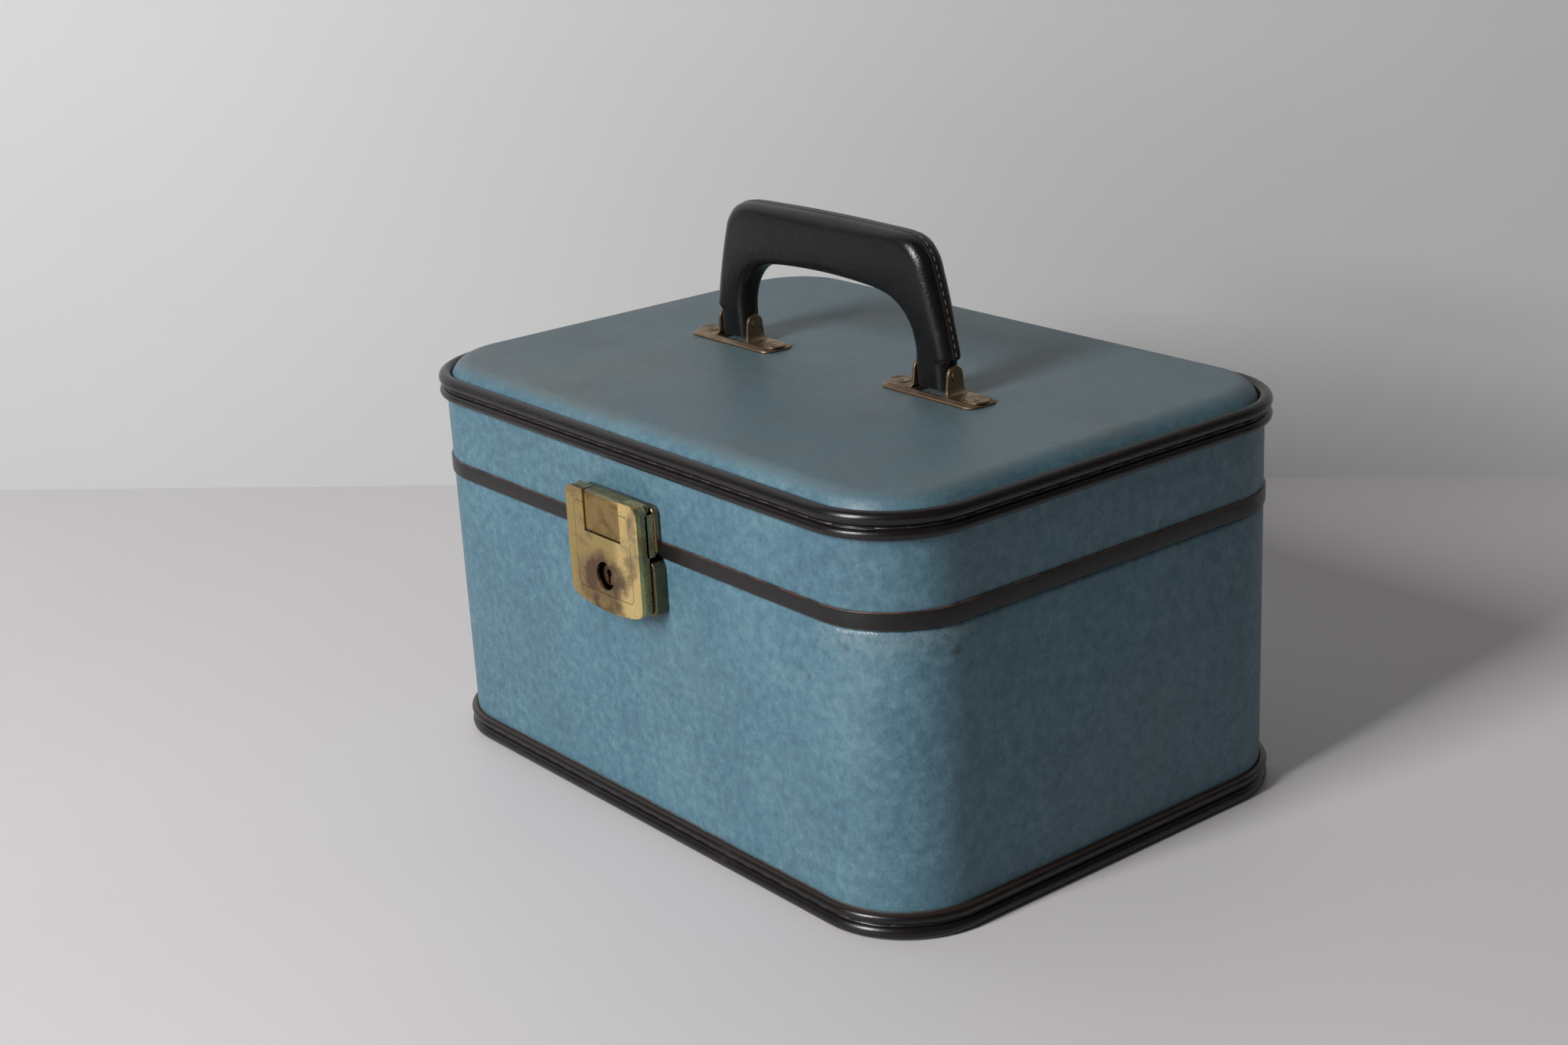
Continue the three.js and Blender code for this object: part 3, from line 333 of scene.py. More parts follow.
def colour(red, green, blue):
    """A colour written as the screen shows it, out of 255."""
    channels = [c / 255 for c in (red, green, blue)]
    return tuple(c / 12.92 if c < 0.04045 else ((c + 0.055) / 1.055) ** 2.4 for c in channels) + (1.0,)


print_shades = [(0.41, colour(53, 83, 98)), (0.54, colour(67, 101, 116)), (0.69, colour(91, 123, 133))]
grime_grey = colour(80, 97, 98)
stain_olive = colour(72, 78, 64)
speck_black = colour(40, 47, 45)
blot_brown = colour(58, 54, 42)
glue_brown = colour(76, 60, 46)
# Pale colour painted as a highlight on the rubbed front right corner of the base.
painted_highlight_pale = colour(118, 130, 134)
# Lid panel top: a grey painted sheen, a darker painted shade, and its real brown smudges.
painted_sheen_grey = colour(84, 91, 90)
painted_shade_dark = colour(56, 66, 69)
film_brown = colour(74, 68, 61)
sheen_and_smudge_depth = (0.0002, 0.0045)
rub_and_highlight_right = (0.118, 0.138)
rub_and_highlight_front = (-0.062, -0.085)


def leatherette(name, dark_line=None, stains=(), rub_and_highlight_band=None, sheen_and_smudge_top=None):
    """Blue leatherette, paper-backed, printed with a soft cloudy mottle and fine fibres.

    dark_line is a height where brown glue shows in a thin line. stains are (place, radius, strength).
    The band on the front right corner is given as (low, high), the heights where the rub starts and is full;
    there the leatherette is glossier and creased, and a pale highlight is painted over it.
    The height of the lid panel's top, given last, marks where the top gets a painted grey sheen standing for
    the reflection of the pale wall, painted shade that darkens it, and real brown smudges."""
    cloth = Finish(name)
    drift = cloth.noise(24.0, detail=4.0, roughness=0.55)
    cloud = cloth.noise(210.0, detail=5.0, roughness=0.62)
    drawn = cloth.stretched((1.0, 1.0, 0.45))
    fibre = cloth.noise(1150.0, detail=4.0, roughness=0.7, distortion=1.4, place=drawn)
    mottle = cloth.weighted((cloud, 0.46), (fibre, 0.42), (drift, 0.2))
    shades = cloth.node("ValToRGB", {"Fac": mottle})
    ramp = shades.color_ramp.elements
    ramp.new(print_shades[1][0])
    for stop, (position, shade) in zip(ramp, print_shades):
        stop.position = position
        stop.color = shade
    base = shades.outputs["Color"]
    base = cloth.mix(cloth.times(cloth.patched(11.0, 0.52, 0.3), 0.22), base, grime_grey)
    base = cloth.mix(cloth.times(cloth.patched(95.0, 0.02, 0.07), 0.35), base, stain_olive)
    base = cloth.mix(cloth.times(cloth.patched(330.0, -0.07, 0.04), 0.55), base, speck_black)
    roughness = cloth.fade(drift, 0.3, 0.7, 0.44, 0.54)
    # Painted light on the lid panel's top: a patchy, mottled grey painted sheen stands for the reflection of
    # the pale wall, and painted shade darkens it in clouds. The brown smudges are real.
    if sheen_and_smudge_top:
        level = cloth.fade(cloth.math("SUBTRACT", sheen_and_smudge_top, cloth.axes["Z"]), *sheen_and_smudge_depth, 1.0, 0.1)
        sheen_patchiness = cloth.fade(cloth.patched(10.0, 0.66, 0.34), 0.0, 1.0, 0.55, 1.0)
        mottled = cloth.fade(mottle, 0.42, 0.66, 0.94, 0.6)
        base = cloth.mix(cloth.times(level, sheen_patchiness, mottled), base, painted_sheen_grey)
        base = cloth.mix(cloth.times(level, cloth.fade(cloud, 0.4, 0.62), 0.4), base, painted_shade_dark)
        base = cloth.mix(cloth.times(level, cloth.patched(13.0, 0.5, 0.3), 0.6), base, film_brown)
    blots = 0.0
    for spot, radius, strength in stains:
        reach = cloth.node("VectorMath", {0: cloth.place, 1: spot}, operation="DISTANCE").outputs["Value"]
        ragged = cloth.math("MULTIPLY_ADD", cloud, radius * 2.4, cloth.math("SUBTRACT", reach, radius * 1.2))
        blot = cloth.times(cloth.fade(ragged, -0.2 * radius, 0.9 * radius, 1.0, 0.0), strength)
        blots = cloth.math("MAXIMUM", blot, blots)
    if stains:
        base = cloth.mix(blots, base, blot_brown)
    if dark_line is not None:
        glue = cloth.fade(cloth.apart(cloth.axes["Z"], dark_line), 0.0003, 0.0007, 1.0, 0.0)
        base = cloth.mix(cloth.times(glue, cloth.fade(cloud, 0.35, 0.6, 0.15, 0.85)), base, glue_brown)
    relief = cloth.math("MULTIPLY_ADD", cloth.noise(60.0, detail=3.0), 1.6, cloth.grained(1500.0))
    # The rubbed place on the front right corner is glossier and creased, and a pale colour is painted over
    # it as a highlight.
    if rub_and_highlight_band:
        rub_with_highlight = cloth.times(
            cloth.fade(cloth.axes["Z"], *rub_and_highlight_band),
            cloth.fade(cloth.axes["X"], *rub_and_highlight_right),
            cloth.fade(cloth.axes["Y"], *rub_and_highlight_front),
            cloth.fade(cloud, 0.38, 0.56))
        base = cloth.mix(cloth.times(rub_with_highlight, 0.35), base, painted_highlight_pale)
        roughness = cloth.math("MULTIPLY_ADD", rub_with_highlight, -0.2, roughness)
        creases = cloth.waves(330.0, distortion=9.0, detail=3.0)
        relief = cloth.math("MULTIPLY_ADD", cloth.times(creases, rub_with_highlight), 1.6, relief)
    return cloth.done(base, roughness, relief)


base_foot = case_low.z
base_top = case_high.z
base_rounding = 0.0025
inner_lip = 0.0048
trim_line = 0.0114
rub_and_highlight_below_top = (0.016, 0.002)

profile = [(0, base_foot), (0, base_top - base_rounding)]
profile += arc((-base_rounding, base_top - base_rounding), base_rounding, 0, 90, 5)[1:]
profile += [(-inner_lip, base_top)]
base_cover = swept_round("base_cover_cloth", profile)
give_thickness(base_cover, cover_thickness)
base_stains = [
    # place, radius and strength, most of them under the band near the front right corner
    ((0.1239, -0.1142, 0.1213), 0.0016, 0.85),
    ((0.1180, -0.1142, 0.1044), 0.0022, 0.75),
    ((0.1229, -0.1142, 0.1010), 0.0020, 0.80),
    ((0.1127, -0.1142, 0.1073), 0.0034, 0.30),
    ((0.1380, -0.1132, 0.1210), 0.0030, 0.35),
    ((0.1440, -0.1095, 0.1105), 0.0028, 0.30),
    ((0.1435, -0.1098, 0.0880), 0.0040, 0.22),
    ((0.1537, -0.1025, 0.1195), 0.0030, 0.35),
    ((0.1645, -0.0800, 0.1180), 0.0034, 0.80),
    ((0.1650, -0.0740, 0.1120), 0.0028, 0.45),
    ((-0.0600, -0.1142, 0.0850), 0.0060, 0.15),
    ((-0.1150, -0.1142, 0.0300), 0.0050, 0.15),
]
rub_and_highlight_heights = [base_top - below for below in rub_and_highlight_below_top]
cover_cloth = leatherette("leatherette base", trim_line, base_stains, rub_and_highlight_heights)
finish_piece(base_cover, cover_cloth, "base", ["base_cover"])


# Lid cover and lid panel cover. The same leatherette round the lid's wall, turned under at the seam,
# and a separate sheet over the crowned lid panel, drawn down into the trim at its edge.

lid_low, lid_high = corners("lid_cover")
lid_edge_height = 0.1775
lid_fold = 0.0009
panel_top = corners("lid_panel_cover")[1].z
panel_edge = -0.003
crown_width = 0.011
crown_drop = 0.0063
crown_power = 3.2
crown_steps = 14

profile = [(-inner_lip, lid_low.z)]
profile += arc((-lid_fold, lid_low.z + lid_fold), lid_fold, 270, 360, 4)
profile += [(0, lid_high.z)]
lid_cover = swept_round("lid_cover_cloth", profile)
give_thickness(lid_cover, cover_thickness)
lid_stains = [((-0.1010, -0.1142, 0.1640), 0.0060, 0.22), ((0.0300, -0.1142, 0.1500), 0.0040, 0.18)]
lid_cloth = leatherette("leatherette lid", lid_edge_height - trim_line, lid_stains)
finish_piece(lid_cover, lid_cloth, "lid", ["lid_cover"])

shares = [step / crown_steps for step in range(crown_steps + 1)]
profile = [
    (panel_edge - share * crown_width, panel_top - crown_drop * (1 - share) ** crown_power)
    for share in shares
]
lid_panel_cover = swept_round("lid_panel_cloth", profile, [panel_top])
start_edit(lid_panel_cover)
mesh = bmesh.from_edit_mesh(lid_panel_cover.data)
if max(mesh.faces, key=lambda face: face.calc_area()).normal.z < 0:
    bpy.ops.mesh.select_all(action="SELECT")
    bpy.ops.mesh.flip_normals()
end_edit(lid_panel_cover)
give_thickness(lid_panel_cover, cover_thickness)
# The panel's top gets a painted sheen and painted shade as well as real brown smudges.
panel_cloth = leatherette("leatherette lid panel", sheen_and_smudge_top=panel_top)
finish_piece(lid_panel_cover, panel_cloth, "lid", ["lid_panel_cover"])


# Corded trims, round the foot of the base and the top of the lid. Each is black-brown leather over a
# thick cord on the edge and a thin cord on the wall, with a sunk strip between them that a long
# running stitch holds to the board, one stitch every 12 mm.

edge_cord_radius = 0.0030
side_cord_radius = 0.0022
edge_cord_out = 0.0003
side_cord_out = 0.0011
side_cord_height = 0.0091
cord_sides = 20
stitch_pitch = 0.012
stitch_length = 0.0078
stitch_radius = 0.00042
strip_height = 0.0064
strip_out = 0.0012
strip_thickness = 0.0010
strip_profile = [
    # distance outside the cover, and height from the case's edge
    (0.0019, 0.0050), (0.0015, 0.0056), (strip_out, 0.0060),
    (strip_out, 0.0067), (0.0015, 0.0071), (0.0017, 0.0076),
]
# Heights where the sunk strip between the cords starts and ends; shade is painted darker there.
sunk_start = (0.0054, 0.0059)
sunk_end = (0.0067, 0.0071)
rim_start = (0.0107, 0.0111)
leather_specular = 0.35


def trim_leather(name, edge_height, upward):
    """Black-brown leather. The height from the case's edge gives the painted shade in the sunk strip between
    the cords, and the brown rim.
    """
    leather = Finish(name, specular=leather_specular)
    level = leather.times(leather.math("SUBTRACT", leather.axes["Z"], edge_height), upward)
    rub = leather.patched(55.0, 0.42, 0.16)
    scuff = leather.times(leather.patched(420.0, 0.25, 0.12), 0.35)
    base = leather.mix(rub, colour(18, 15, 15), colour(26, 22, 22))
    base = leather.mix(scuff, base, colour(40, 33, 30))
    # Painted shade: the strip sunk between the cords is darkened.
    sunk_shade = leather.times(leather.fade(level, *sunk_start), leather.fade(level, *sunk_end, 1.0, 0.0), 0.7)
    base = leather.mix(sunk_shade, base, colour(12, 10, 10))
    base = leather.mix(leather.times(leather.fade(level, *rim_start), 0.7), base, colour(52, 37, 30))
    roughness = leather.fade(rub, 0.0, 1.0, 0.27, 0.4)
    return leather.done(base, roughness, leather.grained(1500.0), strength=0.12, depth=0.00015)


def swept_cord(out, level, radius):
    """A round cord once round the case."""
    start = at_front([(out, level)], -run_x)[0]
    bpy.ops.object.select_all(action="DESELECT")
    bpy.ops.mesh.primitive_circle_add(
        vertices=cord_sides, radius=radius, rotation=(0, math.pi / 2, 0), location=start)
    cord = bpy.context.object
    bpy.ops.object.transform_apply(location=True, rotation=True, scale=True)
    start_edit(cord)
    bpy.ops.mesh.select_all(action="SELECT")
    carry_round()
    end_edit(cord)
    return cord


def round_places(out, pitch):
    """Evenly spaced places on the case's outline: the point, and the direction along it."""
    reach = corner_radius + out
    turn = reach * math.pi / 2
    legs = [
        (2 * run_x, Vector((-run_x, -half_depth - out, 0)), 0.0, (run_x, -run_y)),
        (2 * run_y, Vector((half_width + out, -run_y, 0)), math.pi / 2, (run_x, run_y)),
        (2 * run_x, Vector((run_x, half_depth + out, 0)), math.pi, (-run_x, run_y)),
        (2 * run_y, Vector((-half_width - out, run_y, 0)), 3 * math.pi / 2, (-run_x, -run_y)),
    ]
    total = sum(length + turn for length, *_ in legs)
    count = round(total / pitch)
    places = []
    for i in range(count):
        along = (i + 0.5) * total / count
        for length, start, heading, (centre_x, centre_y) in legs:
            if along <= length:
                offset = Vector((math.cos(heading), math.sin(heading), 0)) * along
                places.append((start + offset, heading))
                break
            along -= length
            if along <= turn:
                angle = heading - math.pi / 2 + along / reach
                point = Vector((centre_x + reach * math.cos(angle), centre_y + reach * math.sin(angle), 0))
                places.append((point, angle + math.pi / 2))
                break
            along -= turn
    return [(point + Vector((0, case_middle_y, 0)), heading) for point, heading in places]


def join_pieces(name, pieces):
    bpy.ops.object.select_all(action="DESELECT")
    for piece in pieces:
        piece.select_set(True)
    bpy.context.view_layer.objects.active = pieces[0]
    bpy.ops.object.join()
    pieces[0].name = name
    pieces[0].data.name = name
    return pieces[0]


def mesh_piece(name, mesh):
    """A piece in the scene from a finished bmesh."""
    data = bpy.data.meshes.new(name)
    mesh.to_mesh(data)
    mesh.free()
    piece = bpy.data.objects.new(name, data)
    bpy.context.scene.collection.objects.link(piece)
    return piece


def place_copies(name, pattern, matrices):
    """One mesh made of a copy of the pattern at each place. The pattern itself is removed."""
    whole = bmesh.new()
    for matrix in matrices:
        start = len(whole.verts)
        whole.from_mesh(pattern.data)
        whole.verts.ensure_lookup_table()
        for vertex in whole.verts[start:]:
            vertex.co = matrix @ vertex.co
    piece = mesh_piece(name, whole)
    bpy.data.objects.remove(pattern)
    return piece


def one_stitch(length, radius):
    """A thread from one needle hole to the next, along X, arched out along Z."""
    bpy.ops.object.select_all(action="DESELECT")
    bpy.ops.mesh.primitive_cylinder_add(
        vertices=8, radius=radius, depth=length, rotation=(0, math.pi / 2, 0), end_fill_type="NGON")
    stitch = bpy.context.object
    bpy.ops.object.transform_apply(location=True, rotation=True, scale=True)
    start_edit(stitch)
    for share in (-0.3, 0.0, 0.3):
        bpy.ops.mesh.select_all(action="SELECT")
        bpy.ops.mesh.bisect(plane_co=(share * length, 0, 0), plane_no=(1, 0, 0))
    mesh = bmesh.from_edit_mesh(stitch.data)
    for vertex in mesh.verts:
        share = abs(vertex.co.x) / (length / 2)
        vertex.co.z -= radius * 2.0 * share ** 4
        vertex.co.y *= 1 - 0.35 * share ** 3
    bmesh.update_edit_mesh(stitch.data)
    end_edit(stitch)
    return stitch


waxed_thread = Finish("waxed thread", roughness=0.45)
twist = waxed_thread.waves(1400.0, distortion=1.0)
thread = waxed_thread.done(waxed_thread.mix(twist, colour(28, 24, 23), colour(60, 51, 47)))

for body, edge_height, upward in (("base", 0.0, 1), ("lid", lid_edge_height, -1)):
    profile = [(out, edge_height + upward * level) for out, level in strip_profile]
    strip = swept_round(body + "_trim_strip", profile)
    give_thickness(strip, strip_thickness)
    edge_cord = swept_cord(edge_cord_out, edge_height + upward * edge_cord_radius, edge_cord_radius)
    side_cord = swept_cord(side_cord_out, edge_height + upward * side_cord_height, side_cord_radius)
    trim = join_pieces(body + "_trim_leather", [strip, edge_cord, side_cord])
    leather = trim_leather(body + " trim leather", edge_height, upward)
    finish_piece(trim, leather, body, [body + "_trim"])

    stitches = []
    level = Vector((0, 0, edge_height + upward * strip_height))
    for point, heading in round_places(strip_out, stitch_pitch):
        turn = Matrix.Rotation(heading, 4, "Z") @ Matrix.Rotation(math.pi / 2, 4, "X")
        stitches.append(Matrix.Translation(point + level) @ turn)
    stitching = place_copies(body + "_trim_stitches", one_stitch(stitch_length, stitch_radius), stitches)
    finish_piece(stitching, thread, body)


# Closure band. A flat black leather strip round the lid's lower edge, its edges skived thin and worn
# to the brown. It stops at the lock and at the hinges.

band_low, band_high = corners("closure_band_back")
band_proud = 0.0009
band_under = 0.0001
band_edge = 0.0004
band_wear = (0.0002, 0.0005)
hinge_middle = 0.095
hinge_half_width = 0.017
hinge_clearance = 0.0008
lock_end = corners("closure_band_right")[0].x
hinge_inner = band_high.x
hinge_outer = hinge_middle + hinge_half_width + hinge_clearance


def band_leather():
    leather = Finish("closure band leather", specular=leather_specular)
    rub = leather.patched(40.0, 0.45, 0.2)
    base = leather.mix(rub, colour(19, 17, 17), colour(26, 23, 23))
    near, far = band_wear
    upper_edge = leather.fade(leather.axes["Z"], band_high.z - far, band_high.z - near)
    lower_edge = leather.fade(leather.axes["Z"], band_low.z + near, band_low.z + far, 1.0, 0.0)
    nicks = leather.fade(leather.noise(160.0, detail=5.0), 0.35, 0.6, 0.25, 0.95)
    edges = leather.times(leather.math("MAXIMUM", upper_edge, lower_edge), nicks)
    base = leather.mix(edges, base, colour(84, 58, 46))
    roughness = leather.fade(rub, 0.0, 1.0, 0.36, 0.5)
    return leather.done(base, roughness, leather.grained(1300.0), strength=0.15, depth=0.00015)


def close_band(piece):
    """Caps both ends of a swept strip."""
    bpy.ops.mesh.select_all(action="SELECT")
    bpy.ops.mesh.remove_doubles(threshold=merge_reach)
    bpy.ops.mesh.select_all(action="DESELECT")
    bpy.ops.mesh.select_non_manifold(extend=False, use_wire=False, use_multi_face=False, use_verts=False)
    bpy.ops.mesh.edge_face_add()
    turn_faces_out()
    end_edit(piece)


band_material = band_leather()
profile = [(band_under, band_low.z), (band_proud - band_edge, band_low.z)]
profile += arc((band_proud - band_edge, band_low.z + band_edge), band_edge, 300, 360, 2)
profile += arc((band_proud - band_edge, band_high.z - band_edge), band_edge, 0, 90, 3)
profile += [(band_under, band_high.z), (band_under, band_low.z)]
band_right = trace("closure_band_right_leather", at_front(profile, lock_end))
carry_along([
    ((run_x - lock_end, 0, 0), front_right),
    ((0, 2 * run_y, 0), back_right),
    ((hinge_outer - run_x, 0, 0), None),
])
close_band(band_right)
band_left = place_copies("closure_band_left_leather", band_right.copy(), [Matrix.Scale(-1, 4, (1, 0, 0))])
start_edit(band_left)
turn_faces_out()
end_edit(band_left)
back_profile = at_front(profile, -hinge_inner)
for point in back_profile:
    point.y = 2 * case_middle_y - point.y
band_back = trace("closure_band_back_leather", back_profile)
carry_along([((2 * hinge_inner, 0, 0), None)])
close_band(band_back)
for side, piece in (("right", band_right), ("left", band_left), ("back", band_back)):
    finish_piece(piece, band_material, "lid", ["closure_band_" + side])


# Boards. The walls, floor and lid panel are pressed fibre board, seen only at cut edges. The case
# stands on a sheet of the same leatherette, glued under the floor.

fibre_board = Finish("fibre board", roughness=0.8)
chips = fibre_board.noise(260.0, detail=5.0)
board = fibre_board.done(fibre_board.mix(chips, colour(120, 92, 62), colour(168, 138, 100)))


def dress(material, *names):
    """Gives carried-over pieces their material."""
    for name in names:
        piece = frame["nodes"][name]
        piece.data.materials.clear()
        piece.data.materials.append(material)


dress(board, "base_wall", "base_floor", "lid_wall", "lid_panel")
dress(leatherette("leatherette under the case"), "base_floor_cover")


# Inside of the base. A woven lining is glued over wall, floor and the rim that guides the lid, and a
# gathered pocket with an elastic hem is sewn to the back.

lining_out = -0.0049
lining_in = -0.0060
lining_thickness = 0.0010
lining_foot = 0.0011
lining_low, lining_high = corners("base_lining")


def lining_cloth(name, light, dark):
    """Plain weave: crossed sets of threads a little lighter and darker, faded in clouds."""
    cloth = Finish(name, roughness=0.85, sheen=0.25)
    across, along, up = [cloth.waves(330.0, distortion=0.6, detail=1.0, direction=way) for way in "XYZ"]
    weave = cloth.math("MULTIPLY_ADD", along, 0.5, cloth.times(across, up))
    tone = cloth.weighted((cloth.noise(14.0, detail=4.0), 0.6), (weave, 0.35))
    return cloth.done(cloth.mix(tone, dark, light), relief=weave)


lining = lining_cloth("pale blue lining", colour(196, 208, 214), colour(150, 166, 176))
profile = [(lining_in, lining_low.z + lining_foot), (lining_in, lining_high.z)]
base_lining = swept_round("base_lining_cloth", profile, [lining_low.z + lining_foot])
give_thickness(base_lining, lining_thickness, offset=1)
finish_piece(base_lining, lining, "base", ["base_lining"])

rim_low, rim_high = corners("base_rim")
rim_inner = -0.0074
rim_free = -0.0054
rim_step = 0.0006
rim_round = 0.0009
rim_round_part = (0.0003, 0.0002)
part_in, part_down = rim_round_part
profile = [
    (rim_inner, rim_low.z),
    (lining_out, rim_low.z),
    (lining_out, base_top),
    (rim_free, base_top + rim_step),
    (rim_free, rim_high.z - rim_round),
    (rim_free - part_in, rim_high.z - part_down),
    (rim_free - rim_round, rim_high.z),
    (rim_inner + rim_round, rim_high.z),
    (rim_inner + part_in, rim_high.z - part_down),
    (rim_inner, rim_high.z - rim_round),
    (rim_inner, rim_low.z),
]
base_rim = swept_round("base_rim_cloth", profile)
finish_piece(base_rim, lining, "base", ["base_rim"])

pocket_low, pocket_high = corners("elastic_pocket")
pocket_folds = 13
pocket_columns = 260
pocket_rows = 26
pocket_stand_off = 0.0046
belly_swell = 0.0018
gather_swell = 0.0007
fine_swell = 0.0002
hem_share = 0.86
hem_pull = 0.0012
hem_width_share = 0.03


def loft(name, rings):
    """A closed skin over rings of points, each ring closed, with a face at either end."""
    mesh = bmesh.new()
    rows = [[mesh.verts.new(point) for point in ring] for ring in rings]
    for low, high in zip(rows, rows[1:]):
        for i in range(len(low)):
            j = (i + 1) % len(low)
            mesh.faces.new((low[i], low[j], high[j], high[i]))
    mesh.faces.new(list(reversed(rows[0])))
    mesh.faces.new(rows[-1])
    bmesh.ops.recalc_face_normals(mesh, faces=mesh.faces)
    return mesh_piece(name, mesh)


def pocket_depth(across, up):
    """How far the pocket's front stands off its back, from the gathers, the belly and the elastic hem."""
    edge = math.sin(math.pi * across) ** 0.35
    gather = math.cos(2 * math.pi * pocket_folds * across + 0.8 * math.sin(9 * across))
    fine = math.cos(4 * math.pi * pocket_folds * across + 2.1 * math.sin(5 * across))
    belly = math.sin(math.pi * min(1.0, up / hem_share)) if up < hem_share else 0.0
    hem = math.exp(-((up - hem_share) / hem_width_share) ** 2)
    swell = belly_swell * belly * edge + gather_swell * (0.35 + belly) * gather + fine_swell * fine
    return pocket_stand_off + swell - hem_pull * hem


rings = []
pocket_size = pocket_high - pocket_low
for column in range(pocket_columns + 1):
    across = column / pocket_columns
    x = pocket_low.x + across * pocket_size.x
    ring = []
    for row in range(pocket_rows + 1):
        up = row / pocket_rows
        ring.append(Vector((x, pocket_high.y - pocket_depth(across, up), pocket_low.z + up * pocket_size.z)))
    ring.append(Vector((x, pocket_high.y, pocket_high.z)))
    ring.append(Vector((x, pocket_high.y, pocket_low.z)))
    rings.append(ring)
pocket = loft("elastic_pocket_cloth", rings)
finish_piece(pocket, lining, "base", ["elastic_pocket"], smooth=60)


# Inside of the lid: lining round the wall, a padded ceiling, and a mirror held by a cloth-covered
# frame with round corners, which laps over the edge of the glass.

lid_lining_low, lid_lining_high = corners("lid_lining")
profile = [
    (lining_in, lid_lining_low.z),
    (lining_out, lid_lining_low.z),
    (lining_out, lid_lining_high.z),
    (lining_in, lid_lining_high.z),
    (lining_in, lid_lining_low.z),
]
lid_lining = swept_round("lid_lining_cloth", profile)
finish_piece(lid_lining, lining, "lid", ["lid_lining"])

ceiling_low, ceiling_high = corners("lid_ceiling")
ceiling_face = ceiling_low.z + 0.0002
ceiling_edge = ceiling_low.z + 0.0004
profile = [(lining_in, ceiling_face), (lining_out, ceiling_edge), (lining_out, ceiling_high.z)]
ceiling = swept_round("lid_ceiling_cloth", profile, [ceiling_face, ceiling_high.z])
finish_piece(ceiling, lining, "lid", ["lid_ceiling"])

frame_low, frame_high = corners("mirror_frame")
glass_low, glass_high = corners("mirror_glass")
frame_half = (frame_high - frame_low) / 2
glass_half = (glass_high - glass_low) / 2
frame_corner = 0.014
glass_corner = 0.008
glass_clearance = 0.0003
frame_lap = 0.002
frame_lip = 0.0011
frame_edge = 0.0009
glass_edge = 0.0006
outline_merge = 0.000005
cut_over = 0.01


def rounded_outline(half_x, half_y, radius, centre=(0.0, 0.0), steps=6):
    """Points round a rectangle with round corners, counter-clockwise, in a plane."""
    points = []
    for quarter, (side_x, side_y) in enumerate(((1, 1), (-1, 1), (-1, -1), (1, -1))):
        middle = (centre[0] + side_x * (half_x - radius), centre[1] + side_y * (half_y - radius))
        points += arc(middle, radius, quarter * 90, quarter * 90 + 90, steps)
    return points


def level_outline(half_x, half_y, radius, height, centre_x=0.0, steps=6):
    """A rounded rectangle lying level, in the middle of the case's depth."""
    outline = rounded_outline(half_x, half_y, radius, (centre_x, case_middle_y), steps)
    return [Vector((x, y, height)) for x, y in outline]


def pull_out(move):
    """The traced outline is filled with a face and pulled out."""
    bpy.ops.mesh.select_all(action="SELECT")
    bpy.ops.mesh.remove_doubles(threshold=outline_merge)
    bpy.ops.mesh.edge_face_add()
    bpy.ops.mesh.extrude_region_move(TRANSFORM_OT_translate={"value": move})


def slab(name, points, move):
    """A closed outline, given as points in space, filled with a face and pulled out by a move."""
    piece = trace(name, points)
    pull_out(move)
    turn_faces_out()
    end_edit(piece)
    return piece


def cut_out(piece, *cutters):
    for cutter in cutters:
        modifier = piece.modifiers.new("cut", "BOOLEAN")
        modifier.operation = "DIFFERENCE"
        modifier.solver = "EXACT"
        modifier.object = cutter
    apply_modifiers(piece)
    for cutter in cutters:
        bpy.data.objects.remove(cutter)


def round_edges(piece, width, segments=3, angle=30):
    modifier = piece.modifiers.new("worn edges", "BEVEL")
    modifier.width = width
    modifier.segments = segments
    modifier.limit_method = "ANGLE"
    modifier.angle_limit = math.radians(angle)
    modifier.use_clamp_overlap = True
    apply_modifiers(piece)


outline = level_outline(frame_half.x, frame_half.y, frame_corner, frame_low.z)
mirror_frame = slab("mirror_frame_cloth", outline, (0, 0, frame_high.z - frame_low.z))
outline = level_outline(
    glass_half.x - frame_lap, glass_half.y - frame_lap, glass_corner, frame_low.z - cut_over)
sight = slab("sight", outline, (0, 0, 3 * cut_over))
outline = level_outline(
    glass_half.x + glass_clearance, glass_half.y + glass_clearance, glass_corner, frame_low.z + frame_lip)
seat = slab("seat", outline, (0, 0, 2 * cut_over))
cut_out(mirror_frame, sight, seat)
round_edges(mirror_frame, frame_edge)
finish_piece(mirror_frame, lining, "lid", ["mirror_frame"])

silvered_glass = Finish("silvered glass", roughness=0.04, metallic=1.0)
haze = silvered_glass.patched(30.0, 0.3, 0.3)
silver = silvered_glass.done(
    silvered_glass.mix(silvered_glass.times(haze, 0.15), colour(238, 242, 243), colour(196, 200, 200)),
    silvered_glass.fade(haze, 0.0, 1.0, 0.03, 0.12))
outline = level_outline(glass_half.x, glass_half.y, glass_corner, glass_low.z)
mirror = slab("mirror_glass_silvered", outline, (0, 0, glass_high.z - glass_low.z))
round_edges(mirror, glass_edge, 2)
finish_piece(mirror, silver, "lid", ["mirror_glass"])


# Hinges. Two stamped brass leaves each, rolled round a steel pin, riveted through cover and wall. All
# brass fittings share one metal: brass plate worn through to a browner alloy on the rubbed places,
# with pits, fine scratches, and green corrosion in the sheltered ones.

pit_brown = colour(52, 40, 28)
verdigris = colour(62, 86, 76)
groove_brown = colour(74, 56, 34)


